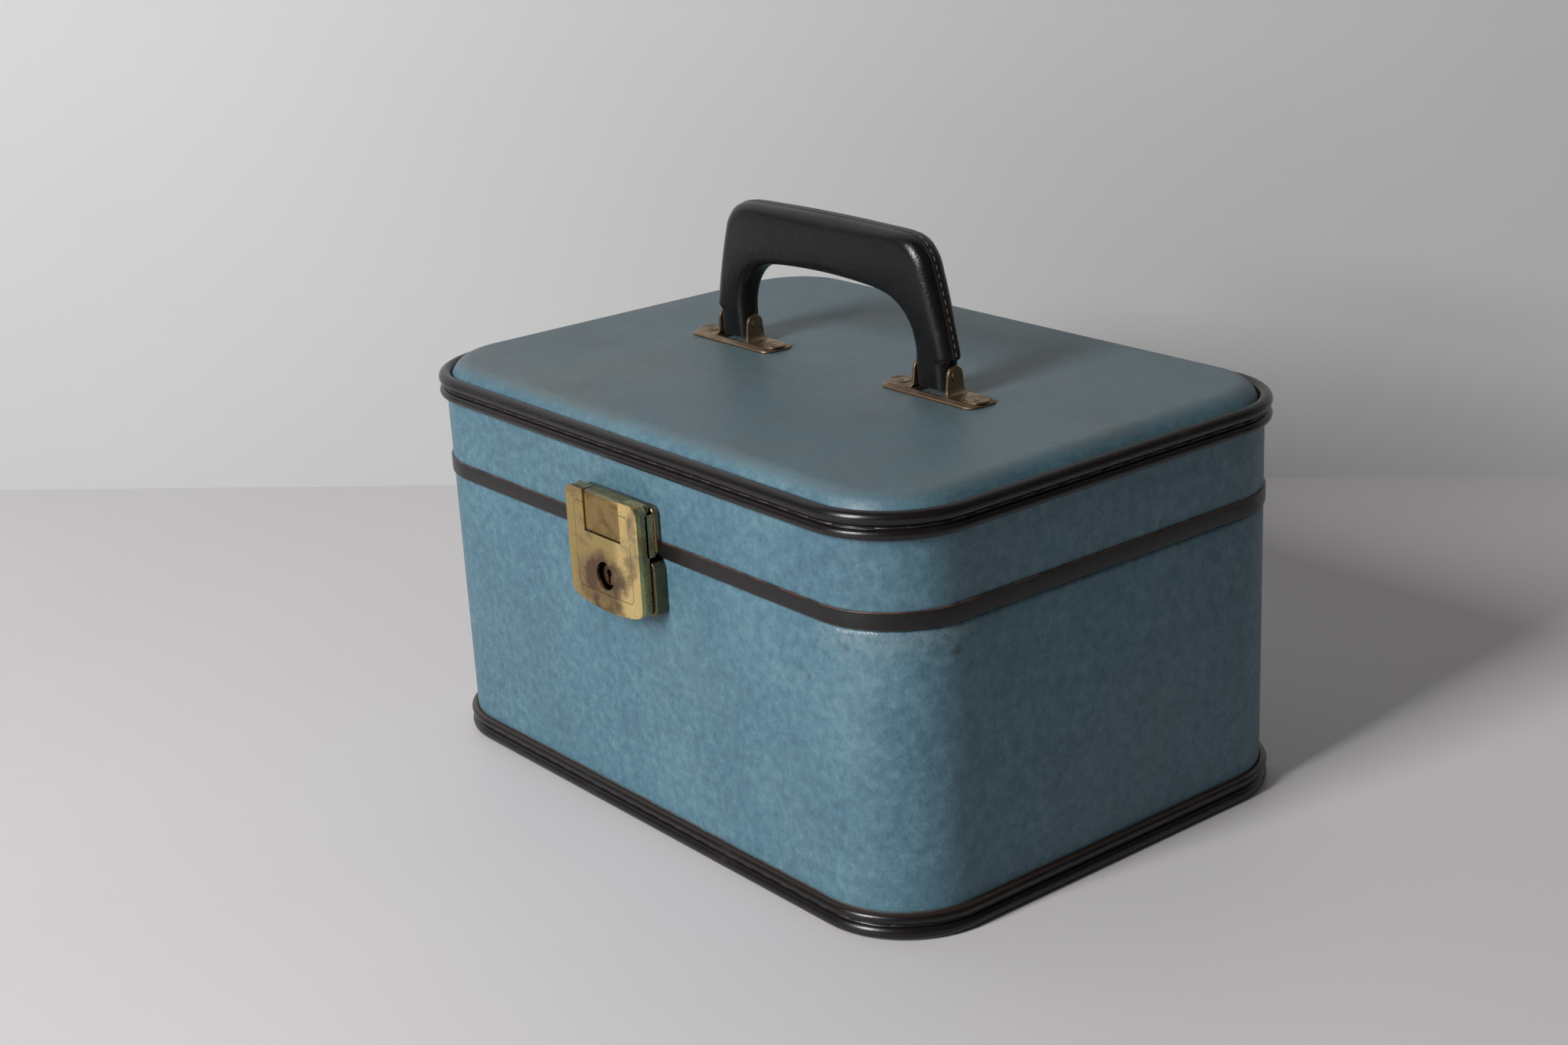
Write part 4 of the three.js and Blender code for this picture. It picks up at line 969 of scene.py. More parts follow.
def old_brass(
        name, bright, brown, roughness=(0.3, 0.5), pits=0.5,
        green_mask=None, line=None, haze=None, highlight_paint=None):
    """Tarnished brass. green_mask, line and haze are functions that take the finish and give a mask.

    polish is such a mask and the brighter colour painted there as a highlight."""
    brass = Finish(name, metallic=1.0)
    cloud = brass.patched(95.0, 0.62, 0.25)
    speckle = brass.noise(1300.0, detail=4.0, roughness=0.7)
    pit = brass.patched(620.0, 0.02, 0.06)
    drawn = brass.stretched((1.0, 1.0, 0.06), (0.3, 0.5, 0.2))
    scratches = brass.fade(brass.noise(2600.0, detail=2.0, place=drawn), 0.66, 0.74)
    tarnish = brass.times(cloud, 0.75)
    if haze:
        hazy = brass.fade(brass.noise(70.0, detail=6.0, roughness=0.65), 0.42, 0.66, -0.15, 0.6)
        hazy = brass.math("ADD", hazy, haze(brass))
        tarnish = brass.math("MINIMUM", brass.math("MAXIMUM", hazy, 0.0), 0.95)
    # A brighter colour painted where the mask says, as a highlight.
    if highlight_paint:
        bright = brass.mix(highlight_paint[0](brass), bright, highlight_paint[1])
    base = brass.mix(tarnish, bright, brown)
    base = brass.mix(brass.fade(speckle, 0.5, 0.75, 0.0, 0.4), base, brown)
    base = brass.mix(brass.times(pit, pits), base, pit_brown)
    metal = None
    if green_mask:
        green = brass.times(green_mask(brass), brass.fade(speckle, 0.35, 0.6, 0.35, 1.0))
        base = brass.mix(green, base, verdigris)
        metal = brass.fade(green, 0.0, 1.0, 1.0, 0.15)
    relief = brass.weighted((scratches, -0.5), (speckle, 0.5), (pit, -1.2))
    if line:
        groove = line(brass)
        base = brass.mix(brass.times(groove, 0.55), base, groove_brown)
        relief = brass.math("MULTIPLY_ADD", groove, -3.0, relief)
    rough = brass.math("MULTIPLY_ADD", pit, 0.3, brass.fade(cloud, 0.0, 1.0, *roughness))
    return brass.done(base, rough, relief, strength=0.35, depth=0.00012, metal=metal)


drawn_steel = Finish("plain steel", metallic=1.0)
streaks = drawn_steel.noise(1800.0, detail=3.0, place=drawn_steel.stretched((0.08, 1.0, 1.0)))
rust = drawn_steel.times(drawn_steel.patched(160.0, 0.25, 0.15), 0.6)
steel = drawn_steel.done(
    drawn_steel.mix(rust, colour(150, 150, 150), colour(104, 78, 60)),
    drawn_steel.fade(streaks, 0.3, 0.7, 0.28, 0.45))


def joint_place(name):
    """Where a joint of the CAD model stands."""
    joints = frame["record"]["behaviour"]["joints"]
    return next(Vector(joint["pos_m"]) for joint in joints if joint["name"] == name)


hinge_brass = old_brass("hinge brass", colour(176, 154, 104), colour(120, 96, 66))
hinge_axis = joint_place("lid_hinge")
hinge_leaf_height = 0.022
hinge_corner = 0.003
hinge_sheet = 0.0012
hinge_edge = 0.00025
knuckle_radius = 0.0026
knuckle_middle = 0.006
knuckle_gap = 0.0003
knuckle_edge = 0.0003
leaf_cut_end = 0.03


def bar(name, radius, start, end, vertices=28, edge=0.0):
    """A round bar between two points, its rims broken by the width given."""
    start, end = Vector(start), Vector(end)
    axis = end - start
    bpy.ops.object.select_all(action="DESELECT")
    bpy.ops.mesh.primitive_cylinder_add(
        vertices=vertices, radius=radius, depth=axis.length, location=(start + end) / 2,
        rotation=axis.to_track_quat("Z", "Y").to_euler())
    piece = bpy.context.object
    piece.name = name
    bpy.ops.object.transform_apply(location=True, rotation=True, scale=True)
    if edge:
        round_edges(piece, edge, 2, 60)
    return piece


def block(*spans):
    """A straight block, given its span along X, Y and Z."""
    middle = [(low + high) / 2 for low, high in spans]
    size = [high - low for low, high in spans]
    bpy.ops.object.select_all(action="DESELECT")
    bpy.ops.mesh.primitive_cube_add(size=1, location=middle, scale=size)
    return bpy.context.object


def about(middle, half):
    return middle - half, middle + half


for hinge, middle in (("left", -hinge_middle), ("right", hinge_middle)):
    for body, upward in (("base", -1), ("lid", 1)):
        node = f"hinge_{body}_leaf_{hinge}"
        centre = (middle, hinge_axis.z + upward * hinge_leaf_height / 2)
        outline = rounded_outline(hinge_half_width, hinge_leaf_height / 2, hinge_corner, centre)
        back = corners(node)[0].y
        sheet = slab(node + "_brass", [Vector((x, back, z)) for x, z in outline], (0, hinge_sheet, 0))
        outer = knuckle_middle + knuckle_gap
        open_spans = [(-outer, outer)]
        knuckle_spans = [(-hinge_half_width, -outer), (outer, hinge_half_width)]
        if upward > 0:
            open_spans = [(-leaf_cut_end, -knuckle_middle), (knuckle_middle, leaf_cut_end)]
            knuckle_spans = [(-knuckle_middle, knuckle_middle)]
        clear = about(hinge_axis.z, knuckle_radius + knuckle_gap)
        for low, high in open_spans:
            cut_out(sheet, block((middle + low, middle + high), about(back, cut_over), clear))
        round_edges(sheet, hinge_edge, 2)
        pieces = [sheet]
        for low, high in knuckle_spans:
            ends = [(middle + x, hinge_axis.y, hinge_axis.z) for x in (low, high)]
            pieces.append(bar("knuckle", knuckle_radius, *ends, edge=knuckle_edge))
        finish_piece(join_pieces(sheet.name, pieces), hinge_brass, body, [node])
        dress(hinge_brass, *(f"hinge_{body}_rivet_{index}" for index in range(1, 5)))
    dress(steel, "hinge_pin_" + hinge)


# Handle mounts. Each is a pressed brass plate with two steps round its edge, a window under the
# handle's foot, a lug bent up at each end of the window, and a ring pressed round each rivet.

mount_brass = old_brass(
    "mount brass", colour(142, 122, 98), colour(104, 84, 70), roughness=(0.36, 0.52), pits=0.4)
pivot = joint_place("handle_pivot")
mount_middle = 0.067
# half length, half width and corner radius
mount_outline = (0.029, 0.00875, 0.0056)
mount_foot = panel_top + 0.0001
mount_thickness = 0.002
mount_top = mount_foot + mount_thickness
mount_steps = [
    # distance inside the outline, and height over the foot
    (0, 0), (0, 0.0007), (0.0006, 0.0012), (0.0013, 0.0013), (0.0019, 0.0018), (0.0024, mount_thickness),
]
window_half_width = 0.0055
window_edge = 0.00012
lug_inner = 0.0097
lug_sheet = 0.0013
lug_half_width = 0.0048
lug_top_radius = 0.0043
lug_eye_radius = 0.0015
lug_flare = 0.0030
lug_flare_steps = 6
lug_edge = 0.00018
lug_root = mount_top - 0.0004
lug_side = [
    # distance outside the lug's half width, and height over its root
    (0.0014, 0.0), (0.0003, 0.0018), (0.0, 0.0035),
]
dimple_spread = 0.0235
dimple_steps = [
    # distance from the rivet's middle, and height over the plate
    (0.0057, -0.0003), (0.0055, 0.0001), (0.0051, 0.00042), (0.0046, 0.00048),
    (0.0042, 0.00034), (0.0036, 0.00008), (0.0012, 0.00003),
]


def pressed_plate(name, centre_x):
    """The stepped plate: skirt, first slope, a narrow land, second slope, and the flat top."""
    rings = []
    for inset, rise in mount_steps:
        half_x, half_y, corner = [size - inset for size in mount_outline]
        rings.append(level_outline(half_x, half_y, corner, mount_foot + rise, centre_x))
    return loft(name, rings)


def mount_lug(name, centre_x, side):
    """A lug: a sheet with a round top and an eye, curving out into the plate at its root."""
    right_side = [(lug_half_width + wide, lug_root + rise) for wide, rise in lug_side]
    left_side = [(-y, z) for y, z in reversed(right_side)]
    outline = left_side[-1:] + right_side + arc((0, pivot.z), lug_top_radius, 0, 180, 14) + left_side[:-1]
    near = centre_x + side * lug_inner
    piece = trace(name, [Vector((near, case_middle_y + y, z)) for y, z in outline])
    pull_out((side * lug_sheet, 0, 0))
    for level in range(1, lug_flare_steps + 1):
        bpy.ops.mesh.select_all(action="SELECT")
        height = lug_root + level * lug_flare / lug_flare_steps
        bpy.ops.mesh.bisect(plane_co=(0, 0, height), plane_no=(0, 0, 1))
    mesh = bmesh.from_edit_mesh(piece.data)
    for vertex in mesh.verts:
        share = max(0.0, 1 - (vertex.co.z - lug_root) / lug_flare)
        vertex.co.x += side * lug_flare * (1 - math.sqrt(max(0.0, 1 - share * share)))
    bmesh.update_edit_mesh(piece.data)
    turn_faces_out()
    end_edit(piece)
    eye_ends = [(x, case_middle_y, pivot.z) for x in about(near, cut_over)]
    cut_out(piece, bar("eye", lug_eye_radius, *eye_ends))
    round_edges(piece, lug_edge, 2, 50)
    return piece


def dimple(centre_x):
    """The ring pressed round a rivet, and the shallow dish inside it."""
    return loft("dimple", [
        level_outline(reach, reach, reach, mount_top + rise, centre_x, steps=9)
        for reach, rise in dimple_steps
    ])


for side, middle in (("left", -mount_middle), ("right", mount_middle)):
    plate = pressed_plate("handle_mount_" + side + "_brass", middle)
    window = block(
        about(middle, lug_inner), about(case_middle_y, window_half_width), about(mount_top, cut_over))
    cut_out(plate, window)
    round_edges(plate, window_edge, 2, 35)
    lugs = [mount_lug("lug", middle, end) for end in (-1, 1)]
    dimples = [dimple(middle + end * dimple_spread) for end in (-1, 1)]
    mount = join_pieces(plate.name, [plate] + lugs + dimples)
    finish_piece(mount, mount_brass, "lid", ["handle_mount_" + side])
    dress(mount_brass, "handle_pin_" + side)
dress(mount_brass, *(f"handle_mount_rivet_{index}" for index in range(1, 5)))


# Handle. Black-brown leather drawn round a filler over a steel strip, closed along its outer edge by
# a lapped seam of tan thread that ends just above the lugs.

handle_half = 0.067
handle_rise = 0.058
handle_thickness = 0.0155
handle_outline_shares = [
    # inner edge across and up, outer edge across and up, and the thickness
    (0.863, -0.104, 1.137, -0.104, 0.70),
    (0.863, 0.000, 1.137, 0.000, 0.74),
    (0.863, 0.091, 1.137, 0.091, 0.775),
    (0.866, 0.130, 1.165, 0.124, 0.785),
    (0.858, 0.215, 1.150, 0.220, 0.806),
    (0.826, 0.330, 1.116, 0.370, 0.852),
    (0.756, 0.435, 1.073, 0.540, 0.903),
    (0.655, 0.505, 1.025, 0.710, 0.935),
    (0.530, 0.540, 0.965, 0.866, 0.968),
    (0.370, 0.558, 0.825, 0.976, 0.985),
    (0.190, 0.568, 0.460, 0.996, 1.000),
    (0.000, 0.572, 0.000, 1.000, 1.000),
]
handle_between = 4
section_corner = 0.0052
section_flat = 0.0004
outer_crown = 0.0006
outer_inset = 0.0003


def smooth_between(rows, steps):
    """Rows of numbers, with rows put in between on a smooth curve through them."""
    made = []
    extended = [rows[0], *rows, rows[-1]]
    for neighbours in zip(extended, extended[1:], extended[2:], extended[3:]):
        for t in (step / steps for step in range(steps)):
            made.append([
                b + ((c - a) * t + (2 * a - 5 * b + 4 * c - d) * t ** 2 + (3 * (b - c) - a + d) * t ** 3) / 2
                for a, b, c, d in zip(*neighbours)
            ])
    return made + [rows[-1]]


other_half = [(-a, b, -c, d, e) for a, b, c, d, e in reversed(handle_outline_shares[:-1])]
stations = smooth_between(handle_outline_shares + other_half, handle_between)


def handle_frame(row):
    """The middle of a section, the direction across it to the outer edge, and its width and thickness."""
    inner = Vector((row[0] * handle_half, 0, row[1] * handle_rise))
    outer = Vector((row[2] * handle_half, 0, row[3] * handle_rise))
    across = outer - inner
    middle = Vector((0, case_middle_y, pivot.z)) + (inner + outer) / 2
    return middle, across.normalized(), across.length, row[4] * handle_thickness


rings = []
for row in stations:
    middle, outward, width, thickness = handle_frame(row)
    corner = min(section_corner, thickness / 2 - section_flat)
    ring = []
    for out, depth in rounded_outline(width / 2, thickness / 2, corner):
        crown = outer_crown * (1 - (2 * depth / thickness) ** 2) if out > 0 else 0.0
        ring.append(middle + outward * (out + crown - outer_inset) + Vector((0, depth, 0)))
    rings.append(ring)
grip = loft("handle_grip_leather", rings)


def handle_leather():
    leather = Finish("handle leather", specular=leather_specular)
    rub = leather.patched(34.0, 0.5, 0.25)
    base = leather.mix(rub, colour(10, 9, 9), colour(15, 13, 13))
    base = leather.mix(leather.times(leather.patched(300.0, 0.08, 0.1), 0.4), base, colour(34, 28, 25))
    roughness = leather.fade(rub, 0.0, 1.0, 0.3, 0.42)
    relief = leather.math("MULTIPLY_ADD", leather.noise(110.0, detail=2.0), 2.0, leather.grained(1400.0))
    return leather.done(base, roughness, relief, strength=0.45)


finish_piece(grip, handle_leather(), "handle", ["handle_grip"], smooth=50)

# The lapped seam: a low strip of leather along the middle of the outer edge, with the stitches on it.
lap_half_width = 0.0021
lap_height = 0.00055
lap_depth = 0.0008
lap_offset = 0.0004
lap_rise = 0.0002
lap_end_share = 0.12
lap_section_shares = [
    # across the strip in half widths, and out from the leather in heights of the lap
    (-1.0, -0.3), (-0.8, 0.55), (-0.4, 0.95), (0.0, 0.85), (0.5, 1.0), (0.9, 0.9), (1.05, -0.3),
]
lap_foot_share = 0.6
skived_from = (0.0019, 0.0023)
handle_stitch_pitch = 0.0037
handle_stitch_length = 0.0030
handle_stitch_radius = 0.00034
handle_stitch_sunk = 0.00012
handle_stitch_aside = 0.0002

rings = []
outer_path = []
for row in stations:
    if row[3] <= lap_end_share:
        continue
    middle, outward, width, thickness = handle_frame(row)
    surface = middle + outward * (width / 2 + lap_rise) + Vector((0, lap_offset, 0))
    outer_path.append((surface + outward * lap_height, outward))
    ring = [
        surface + outward * lift * lap_height + Vector((0, depth * lap_half_width, 0))
        for depth, lift in lap_section_shares
    ]
    for depth in (lap_foot_share, -lap_foot_share):
        ring.append(surface - outward * lap_depth + Vector((0, depth * lap_half_width, 0)))
    rings.append(ring)
lap = loft("handle_seam_lap", rings)
lap_leather = Finish("skived leather edge", roughness=0.4)
fray = lap_leather.noise(260.0, detail=5.0)
skived = lap_leather.fade(lap_leather.axes["Y"], *(case_middle_y + out for out in skived_from))
base = lap_leather.mix(lap_leather.fade(fray, 0.35, 0.65), colour(14, 12, 12), colour(22, 19, 18))
base = lap_leather.mix(lap_leather.times(skived, 0.8), base, colour(44, 26, 22))
finish_piece(lap, lap_leather.done(base, relief=fray), "handle", smooth=60)

tan_thread = Finish("tan thread", roughness=0.7)
base = tan_thread.mix(tan_thread.waves(1500.0, distortion=1.5), colour(58, 50, 43), colour(92, 82, 70))
base = tan_thread.mix(tan_thread.times(tan_thread.patched(70.0, 0.55, 0.2), 0.75), base, colour(36, 31, 28))

stitch_places = []
travelled = 0.0
wanted = handle_stitch_pitch / 2
for (here, outward), (there, _) in zip(outer_path, outer_path[1:]):
    length = (there - here).length
    while travelled + length >= wanted:
        along = (there - here).normalized()
        turn = Matrix((along, outward.cross(along), outward)).transposed().to_4x4()
        point = here.lerp(there, (wanted - travelled) / length)
        point -= outward * handle_stitch_sunk + Vector((0, handle_stitch_aside, 0))
        stitch_places.append(Matrix.Translation(point) @ turn)
        wanted += handle_stitch_pitch
    travelled += length
handle_stitch = one_stitch(handle_stitch_length, handle_stitch_radius)
handle_stitches = place_copies("handle_seam_stitches", handle_stitch, stitch_places)
finish_piece(handle_stitches, tan_thread.done(base), "handle")
dress(steel, "handle_core")


# Lock case on the base. A drawn brass box with round corners, riveted through the wall, with the key
# barrel's boss in its front and a slot for the hasp's staple. Sheltered behind the hasp, it is green.

lock_low, lock_high = corners("lock_case")
lock_corner = 0.0035
lock_inner_corner = 0.0023
lock_sheet = 0.0012
lock_edge = 0.0005
lock_green = (0.0255, 0.0268)
hollow_over = 0.001
boss_hole_radius = 0.005
boss_hole_depth = 0.003
slot_span = (0.0129, 0.0171)
slot_depth = 0.0052
slot_heights = (-0.0051, 0.022)
key_axis = joint_place("key_turn")


def damp_sides(brass):
    """The sides of the lock, where damp sits."""
    return brass.times(brass.fade(brass.math("ABSOLUTE", brass.axes["X"]), *lock_green), 0.5)


def upright_outline(half_x, low, high, radius, y):
    """A rounded rectangle standing in the plane of the front wall, in the middle of the case."""
    outline = rounded_outline(half_x, (high - low) / 2, radius, (0.0, (low + high) / 2))
    return [Vector((x, y, z)) for x, z in outline]


def key_bar(name, radius, front, back, vertices, edge=0.0, off=(0.0, 0.0)):
    """A round bar along the key's axis, or off it to the right and up."""
    x, z = key_axis.x + off[0], key_axis.z + off[1]
    return bar(name, radius, (x, front, z), (x, back, z), vertices, edge)


case_brass = old_brass(
    "lock case brass", colour(112, 98, 68), colour(70, 58, 42),
    roughness=(0.34, 0.52), green_mask=damp_sides)
outline = upright_outline(lock_high.x, lock_low.z, lock_high.z, lock_corner, lock_high.y)
lock_shell = slab("lock_case_brass", outline, (0, lock_low.y - lock_high.y, 0))
outline = upright_outline(
    lock_high.x - lock_sheet, lock_low.z + lock_sheet, lock_high.z - lock_sheet, lock_inner_corner,
    lock_high.y + hollow_over)
hollow = slab("hollow", outline, (0, lock_low.y - lock_high.y + lock_sheet - hollow_over, 0))
boss_hole = key_bar("hole", boss_hole_radius, lock_low.y - cut_over, lock_low.y + boss_hole_depth, 28)
staple_slot = block(
    slot_span,
    (lock_low.y - cut_over, lock_low.y + slot_depth),
    [key_axis.z + height for height in slot_heights])
cut_out(lock_shell, hollow, boss_hole, staple_slot)
round_edges(lock_shell, lock_edge, 3, 40)
finish_piece(lock_shell, case_brass, "base", ["lock_case"])
dress(case_brass, *(f"lock_case_rivet_{side}" for side in ("left", "right")))
dress(case_brass, *(f"lid_plate_rivet_{side}" for side in ("left", "right")))
dress(steel, "lock_bolt")

# Key barrel: a turned boss with a keyhole, a round hole and a narrow slot under it, and behind the
# front of the case its flange and the cam that pushes the bolt.
barrel_low, barrel_high = corners("key_barrel")
boss_radius = 0.0047
boss_edge = 0.0004
flange_radius = 0.0052
flange_front = lock_low.y + 0.0015
flange_back = flange_front + 0.0013
cam_radius = 0.0008
cam_off = (-0.002546, 0.002546)
cam_front = flange_front + 0.0012
keyhole_depth = 0.0046
keyhole_radius = 0.0017
keyhole_rise = 0.00085
keyhole_slot_half = 0.00075
keyhole_slot_length = 0.004
barrel_brass = old_brass(
    "barrel brass", colour(120, 94, 72), colour(76, 58, 46), roughness=(0.34, 0.5), pits=0.3)
boss = key_bar("key_barrel_brass", boss_radius, barrel_low.y, flange_back, 48, boss_edge)
flange = key_bar("flange", flange_radius, flange_front, flange_back, 40)
cam = key_bar("cam", cam_radius, cam_front, barrel_high.y, 16, off=cam_off)
hole_ends = (barrel_low.y - cut_over, barrel_low.y + keyhole_depth)
round_hole = key_bar("hole", keyhole_radius, *hole_ends, 32, off=(0.0, keyhole_rise))
slot_hole = block(about(0, keyhole_slot_half), hole_ends, (key_axis.z - keyhole_slot_length, key_axis.z))
cut_out(boss, round_hole, slot_hole)
barrel = join_pieces("key_barrel_brass", [boss, flange, cam])
finish_piece(barrel, barrel_brass, "key_barrel", ["key_barrel"])


# Lid plate of the lock. Riveted to the lid above the seam, with a rolled outline. Its strap hooks
# forward over the hasp pin and hangs down into the hasp's notch with a sunk, pitted face.

plate_low, plate_high = corners("lid_lock_plate")
plate_top = 0.1526
plate_foot = 0.1306
plate_corner = 0.0040
plate_front = plate_high.y - 0.0033
plate_edge = 0.0010
hasp_pivot = joint_place("hasp_hinge")
strap_half = 0.0126
strap_radius = 0.0021
strap_top = hasp_pivot.z + strap_radius - 0.0001
strap_front = plate_low.y
strap_back = hasp_pivot.y + 0.0024
strap_foot = strap_top - 0.0176
strap_frame = 0.0012
strap_sink = 0.0003
strap_edge = 0.0002
strap_lift = 0.0001
strap_bend = [
    # distance behind the strap's front, and height under its top
    (0.0018, 0.0), (0.0009, 0.00025), (0.0003, 0.0008), (0.0, 0.0017),
]
web_depths = (hasp_pivot.y, plate_front + 0.0006)
web_heights = (hasp_pivot.z - strap_radius, plate_top - 0.0002)
bend_film = (0.0012, 0.0002)


def filmed_bend(brass):
    """Green-grey film on the strap's bend, where it goes over the pin."""
    return brass.times(brass.fade(brass.axes["Z"], *(strap_top - below for below in bend_film)), 0.8)


plate_brass = old_brass("lid plate brass", colour(150, 120, 92), colour(90, 68, 54), roughness=(0.3, 0.46))
strap_brass = old_brass(
    "strap brass", colour(160, 134, 86), colour(92, 72, 46),
    roughness=(0.4, 0.6), pits=0.9, green_mask=filmed_bend)
outline = upright_outline(plate_high.x, plate_foot, plate_top, plate_corner, plate_high.y)
lid_plate = slab("lid_lock_plate_brass", outline, (0, plate_front - plate_high.y, 0))
round_edges(lid_plate, plate_edge, 4, 40)
finish_piece(lid_plate, plate_brass, "lid", ["lid_lock_plate"])

strap_profile = [
    (strap_back, strap_top - strap_lift),
    *((strap_front + behind, strap_top - under) for behind, under in strap_bend),
    (strap_front, strap_foot),
    (strap_front + lock_sheet, strap_foot),
    (strap_front + lock_sheet, strap_top - lock_sheet),
    (strap_back, strap_top - lock_sheet),
]
strap = slab("strap", [Vector((-strap_half, y, z)) for y, z in strap_profile], (2 * strap_half, 0, 0))
round_edges(strap, strap_edge, 2, 40)
start_edit(strap)
bpy.ops.mesh.select_all(action="DESELECT")
mesh = bmesh.from_edit_mesh(strap.data)
face = max((f for f in mesh.faces if f.normal.y < -0.9), key=lambda f: f.calc_area())
face.select_set(True)
bmesh.update_edit_mesh(strap.data)
bpy.ops.mesh.inset(thickness=strap_frame, depth=0.0)
bpy.ops.mesh.inset(thickness=strap_sink, depth=-strap_sink)
end_edit(strap)


def pin_bar(low, high, edge=0.0):
    """A knuckle rolled round the hasp's pin from one x to another."""
    ends = [(x, hasp_pivot.y, hasp_pivot.z) for x in (low, high)]
    return bar("knuckle", strap_radius, *ends, edge=edge)


knuckle = pin_bar(-strap_half, strap_half)
web = block(about(0, strap_half), web_depths, web_heights)
strap = join_pieces("lid_lock_strap_brass", [strap, knuckle, web])
finish_piece(strap, strap_brass, "lid")


# Hasp. A drawn brass shell with a rolled rim, hung on a steel pin through two knuckles. Its front has
# an engraved border, the notch for the strap, and a round opening over the keyhole.

hasp_low, hasp_high = corners("hasp_shell")
hasp_half = hasp_high.x
hasp_top = hasp_high.z
hasp_side_foot = hasp_top - 0.049
hasp_corner = 0.0045
hasp_bulge = 0.0026
hasp_bulge_steps = 16
hasp_foot_share = 0.66
hasp_back = lock_low.y - 0.0006
hasp_front = hasp_low.y
hasp_rim = 0.0014
hasp_rim_steps = 5
hasp_edge = 0.00022
notch_half = 0.0130
notch_foot = strap_foot - 0.0005
opening_radius = 0.0062
foot_relief_half = 0.0053
hasp_knuckle_span = (0.0134, 0.0237)
hasp_knuckle_edge = 0.0002
knuckle_web_front = hasp_front + 0.0007
knuckle_web_heights = (hasp_pivot.z - 0.0009, hasp_top - 0.0007)
side_wall_depths = (hasp_back - 0.001, hasp_back + 0.003)
side_wall_heights = (plate_foot + 0.0008, hasp_top - hasp_corner)
border_half = 0.0197
border_foot = 0.1105
border_top = 0.1486
border_corner = 0.0028
border_depths = (0.0004, 0.0007)
border_line = (0.0001, 0.00035)
green_depths = (0.0016, 0.0026)
haze_left = 0.004
haze_below = 0.003
haze_reach = (0.004, 0.019)
# Where the painted highlight on the hasp's right starts and is full.
highlighted_from = (0.006, 0.013)


def hasp_outline(inset, y):
    """The hasp's outline: round shoulders, straight sides, and a foot that bulges down in the middle."""
    half = hasp_half - inset
    top = hasp_top - inset
    radius = hasp_corner - inset
    side = hasp_side_foot + inset
    points = arc((half - radius, top - radius), radius, 0, 90, 6)
    points += arc((radius - half, top - radius), radius, 90, 180, 6)
    points += arc((radius - half, side + radius), radius, 180, 250, 5)
    for i in range(1, hasp_bulge_steps):
        share = -1 + 2 * i / hasp_bulge_steps
        points.append((share * (half - radius * hasp_foot_share), side - hasp_bulge * (1 - share * share)))
    points += arc((half - radius, side + radius), radius, 290, 360, 5)
    return [Vector((x, y, z)) for x, z in points]


def engraved(brass):
    """The line of the border, a rounded rectangle, on the front alone."""
    half_z = (border_top - border_foot) / 2 - border_corner
    off_middle = brass.apart(brass.axes["Z"], (border_foot + border_top) / 2)
    out_x = brass.math("SUBTRACT", brass.math("ABSOLUTE", brass.axes["X"]), border_half - border_corner)
    out_z = brass.math("SUBTRACT", off_middle, half_z)
    reach = brass.length(brass.math("MAXIMUM", out_x, 0.0), brass.math("MAXIMUM", out_z, 0.0))
    inner = brass.math("MINIMUM", brass.math("MAXIMUM", out_x, out_z), 0.0)
    distance = brass.apart(brass.math("ADD", reach, inner), border_corner)
    on_front = brass.fade(brass.axes["Y"], *(hasp_front + depth for depth in border_depths), 1.0, 0.0)
    return brass.times(brass.fade(distance, *border_line, 1.0, 0.0), on_front)


def corroded_sides(brass):
    """The shell's side walls, behind its rim."""
    return brass.times(brass.fade(brass.axes["Y"], *(hasp_front + depth for depth in green_depths)), 0.9)


def handled(brass):
    """Brown haze round the keyhole and below it, more to its left, where fingers and the key rub."""
    across = brass.times(brass.math("ADD", brass.axes["X"], haze_left), 0.75)
    down = brass.math("SUBTRACT", brass.axes["Z"], key_axis.z - haze_below)
    return brass.fade(brass.length(across, down), *haze_reach, 0.85, 0.0)


def right_highlight(brass):
    """Right of the notch, where a brighter colour is painted on as a highlight for the reflection of a
    bright surround.
    """
    return brass.fade(brass.axes["X"], *highlighted_from)


# The bright colour right of the notch is a painted highlight.
hasp_brass = old_brass(
    "hasp brass", colour(190, 166, 108), colour(104, 82, 66), roughness=(0.32, 0.48),
    green_mask=corroded_sides, line=engraved, haze=handled, highlight_paint=(right_highlight, colour(238, 210, 142)))
hasp = slab("hasp_shell_brass", hasp_outline(0.0, hasp_back), (0, hasp_front - hasp_back, 0))
start_edit(hasp)
bpy.ops.mesh.select_all(action="DESELECT")
mesh = bmesh.from_edit_mesh(hasp.data)
for edge in mesh.edges:
    edge.select_set(all(abs(v.co.y - hasp_front) < level_slack for v in edge.verts))
bmesh.update_edit_mesh(hasp.data)
bpy.ops.mesh.bevel(offset=hasp_rim, segments=hasp_rim_steps, profile=0.5, affect="EDGES")
end_edit(hasp)
outline = hasp_outline(lock_sheet, hasp_back + hollow_over)
hollow = slab("hollow", outline, (0, hasp_front - hasp_back + lock_sheet - hollow_over, 0))
through = (hasp_front - cut_over, hasp_back + cut_over)
notch = block(about(0, notch_half), through, (notch_foot, hasp_top + cut_over))
opening = key_bar("opening", opening_radius, *through, 56)
foot_relief = block(
    about(0, foot_relief_half),
    (hasp_front + lock_sheet, hasp_back + cut_over),
    (hasp_low.z - cut_over, key_axis.z))
cut_out(hasp, hollow, notch, opening, foot_relief)
round_edges(hasp, hasp_edge, 2, 50)
pieces = [hasp]
for side in (-1, 1):
    inner, outer = [side * x for x in hasp_knuckle_span]
    pieces.append(pin_bar(inner, outer, hasp_knuckle_edge))
    pieces.append(block(sorted((inner, outer)), (knuckle_web_front, hasp_pivot.y), knuckle_web_heights))
